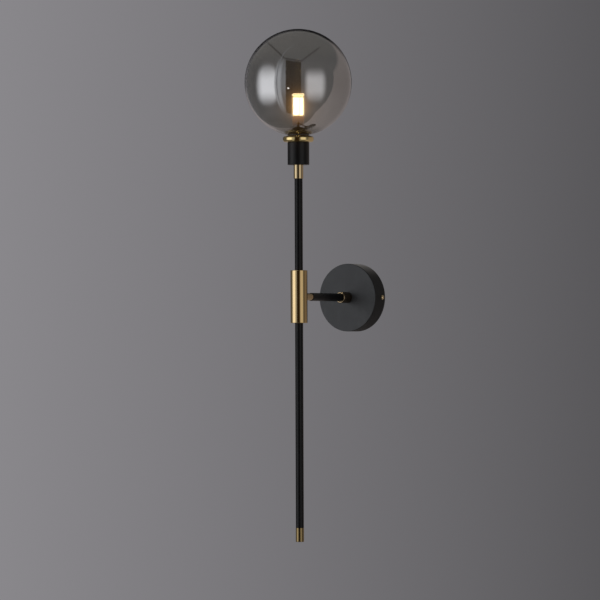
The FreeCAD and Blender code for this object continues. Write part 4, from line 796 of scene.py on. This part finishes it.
    # the lit wall behind the light
    wide = s.math("DIVIDE", x, s.math("MAXIMUM", y, 0.02))
    high = s.math("DIVIDE", z, s.math("MAXIMUM", y, 0.02))
    rim = s.span(high, -2.8, 0.7, 2.86, 1.76)
    wall = s.math("MULTIPLY", s.span(y, 0.00, 0.04, 0.0, 1.0, True), s.span(s.math("SUBTRACT", wide, rim), -0.04, 0.04, 1.0, 0.0, True))
    wall = s.math("MULTIPLY", wall, s.span(high, 0.50, 0.72, 1.0, 0.0, True))
    wall = s.math("MULTIPLY", wall, s.span(wide, -1.6, -1.4, 0.0, 1.0, True))
    foot = s.math("ADD", high, s.math("MULTIPLY", wide, 0.635))
    wall = s.math("MULTIPLY", wall, s.span(foot, -3.5, -3.1, 0.0, 1.0, True))
    tone = s.ramp(s.span(high, -3.0, 1.0, 0.0, 1.0),
                  [(0.0, (0.27, 0.240, 0.230)), (0.45, (0.27, 0.240, 0.230)), (0.75, (0.230, 0.200, 0.190)), (1.0, (0.225, 0.200, 0.190))])
    colour = s.blend(wall, colour, tone)
    dark = s.math("MULTIPLY", window(-2.0, -0.35, 0.02, 0.62, 0.08, 0.06, across=wide, along=high), s.span(y, 0.0, 0.04, 0.0, 1.0, True))
    colour = s.blend(dark, colour, (0.010, 0.010, 0.010))
    # the dark of the room's far side, at the very edge of the ball, towards the top
    reach = s.math("POWER", s.math("ADD", s.math("MULTIPLY", u, u), s.math("MULTIPLY", v, v)), 0.5)
    rimmed = s.math("MULTIPLY", edge(reach, 0.958, 0.010), s.math("MULTIPLY", edge(v, 0.32, 0.40), edge(u, 0.62, 0.10, False)))
    colour = s.blend(rimmed, colour, (0.004, 0.004, 0.004))

    # what the camera sees behind the light is plain and shades off gently across
    across = s.span(vmath("DOT_PRODUCT", coord, Vector((0.8217, 0.5699, 0.0))), -0.067, 0.067, 0.0, 1.0)
    plain = s.blend(across, (0.25, 0.243, 0.258), (0.10, 0.097, 0.103))
    path = nt.nodes.new("ShaderNodeLightPath")
    seen = s.math("MAXIMUM", path.outputs["Is Camera Ray"], path.outputs["Is Transmission Ray"])
    bg = nt.nodes.new("ShaderNodeBackground")
    nt.links.new(s.blend(seen, colour, plain), bg.inputs[0])
    bg.inputs[1].default_value = 1.0
    nt.links.new(bg.outputs[0], out.inputs[0])


make_world()


def area(name, place, aim, size, power, tint):
    data = bpy.data.lights.new(name, "AREA")
    data.shape = "RECTANGLE"
    data.size, data.size_y = size
    data.energy = power
    data.color = tint
    ob = bpy.data.objects.new(name, data)
    scene.collection.objects.link(ob)
    ob.location = place
    ob.rotation_euler = (Vector(aim) - Vector(place)).to_track_quat("-Z", "Y").to_euler()
    ob.visible_camera = False
    ob.visible_glossy = False
    ob.visible_transmission = False
    return ob


area("soft_left", (-1.5, -2.1, 0.5), (0, 0, 0.05), (1.0, 1.2), 32.0, (0.97, 0.98, 1.0))
area("soft_top", (0.2, -0.6, 2.4), (0, 0, 0.0), (2.6, 2.6), 14.0, (1.0, 0.99, 0.98))
area("soft_back", (-1.2, 2.2, 1.0), (0, 0, 0.0), (2.0, 1.6), 4.0, (1.0, 0.99, 0.98))


def make_floor():
    """A pale floor well under the light; it fades away beyond its lit middle."""
    s = Shade("floor_pale")
    cloud = s.noise(1.2, 3.0, 0.5)
    colour = s.blend(s.span(cloud, 0.3, 0.7, 0.0, 1.0), (0.74, 0.73, 0.74), (0.76, 0.75, 0.76))
    lit = s.surface(Base_Color=colour, Roughness=0.9, Specular_IOR_Level=0.1)
    gone = s.node("ShaderNodeBsdfTransparent")
    flat = s.node("ShaderNodeVectorMath", operation="LENGTH")
    s.put(flat.inputs[0], s.mapped((1, 1, 0)))
    mix = s.node("ShaderNodeMixShader")
    s.put(mix.inputs[0], s.span(flat.outputs["Value"], 1.3, 3.4, 0.0, 1.0, True))
    s.nt.links.new(lit.outputs[0], mix.inputs[1])
    s.nt.links.new(gone.outputs[0], mix.inputs[2])
    mat = s.finish(mix)
    me = bpy.data.meshes.new("floor")
    n, r = 64, 3.5
    me.from_pydata([(r * math.cos(2 * math.pi * i / n), r * math.sin(2 * math.pi * i / n), -0.95) for i in range(n)], [],
                   [tuple(range(n))])
    me.materials.append(mat)
    ob = bpy.data.objects.new("floor", me)
    scene.collection.objects.link(ob)
    ob.visible_glossy = False


make_floor()


# ------------------------------------------------------------------ the lamp's soft halo
def make_halo():
    scene.use_nodes = True
    nt = scene.node_tree
    nt.nodes.clear()
    layers = nt.nodes.new("CompositorNodeRLayers")
    glare = nt.nodes.new("CompositorNodeGlare")
    glare.glare_type = "BLOOM"
    glare.quality = "HIGH"
    for name, value in (("Threshold", 0.80), ("Smoothness", 0.10), ("Strength", 1.0), ("Size", 0.07), ("Saturation", 1.0),
                        ("Maximum", 9.0), ("Clamp", True), ("Tint", (1.0, 0.62, 0.30, 1.0))):
        if name in glare.inputs:
            glare.inputs[name].default_value = value
    end = nt.nodes.new("CompositorNodeComposite")
    nt.links.new(layers.outputs["Image"], glare.inputs["Image"])
    nt.links.new(glare.outputs["Image"], end.inputs["Image"])


make_halo()
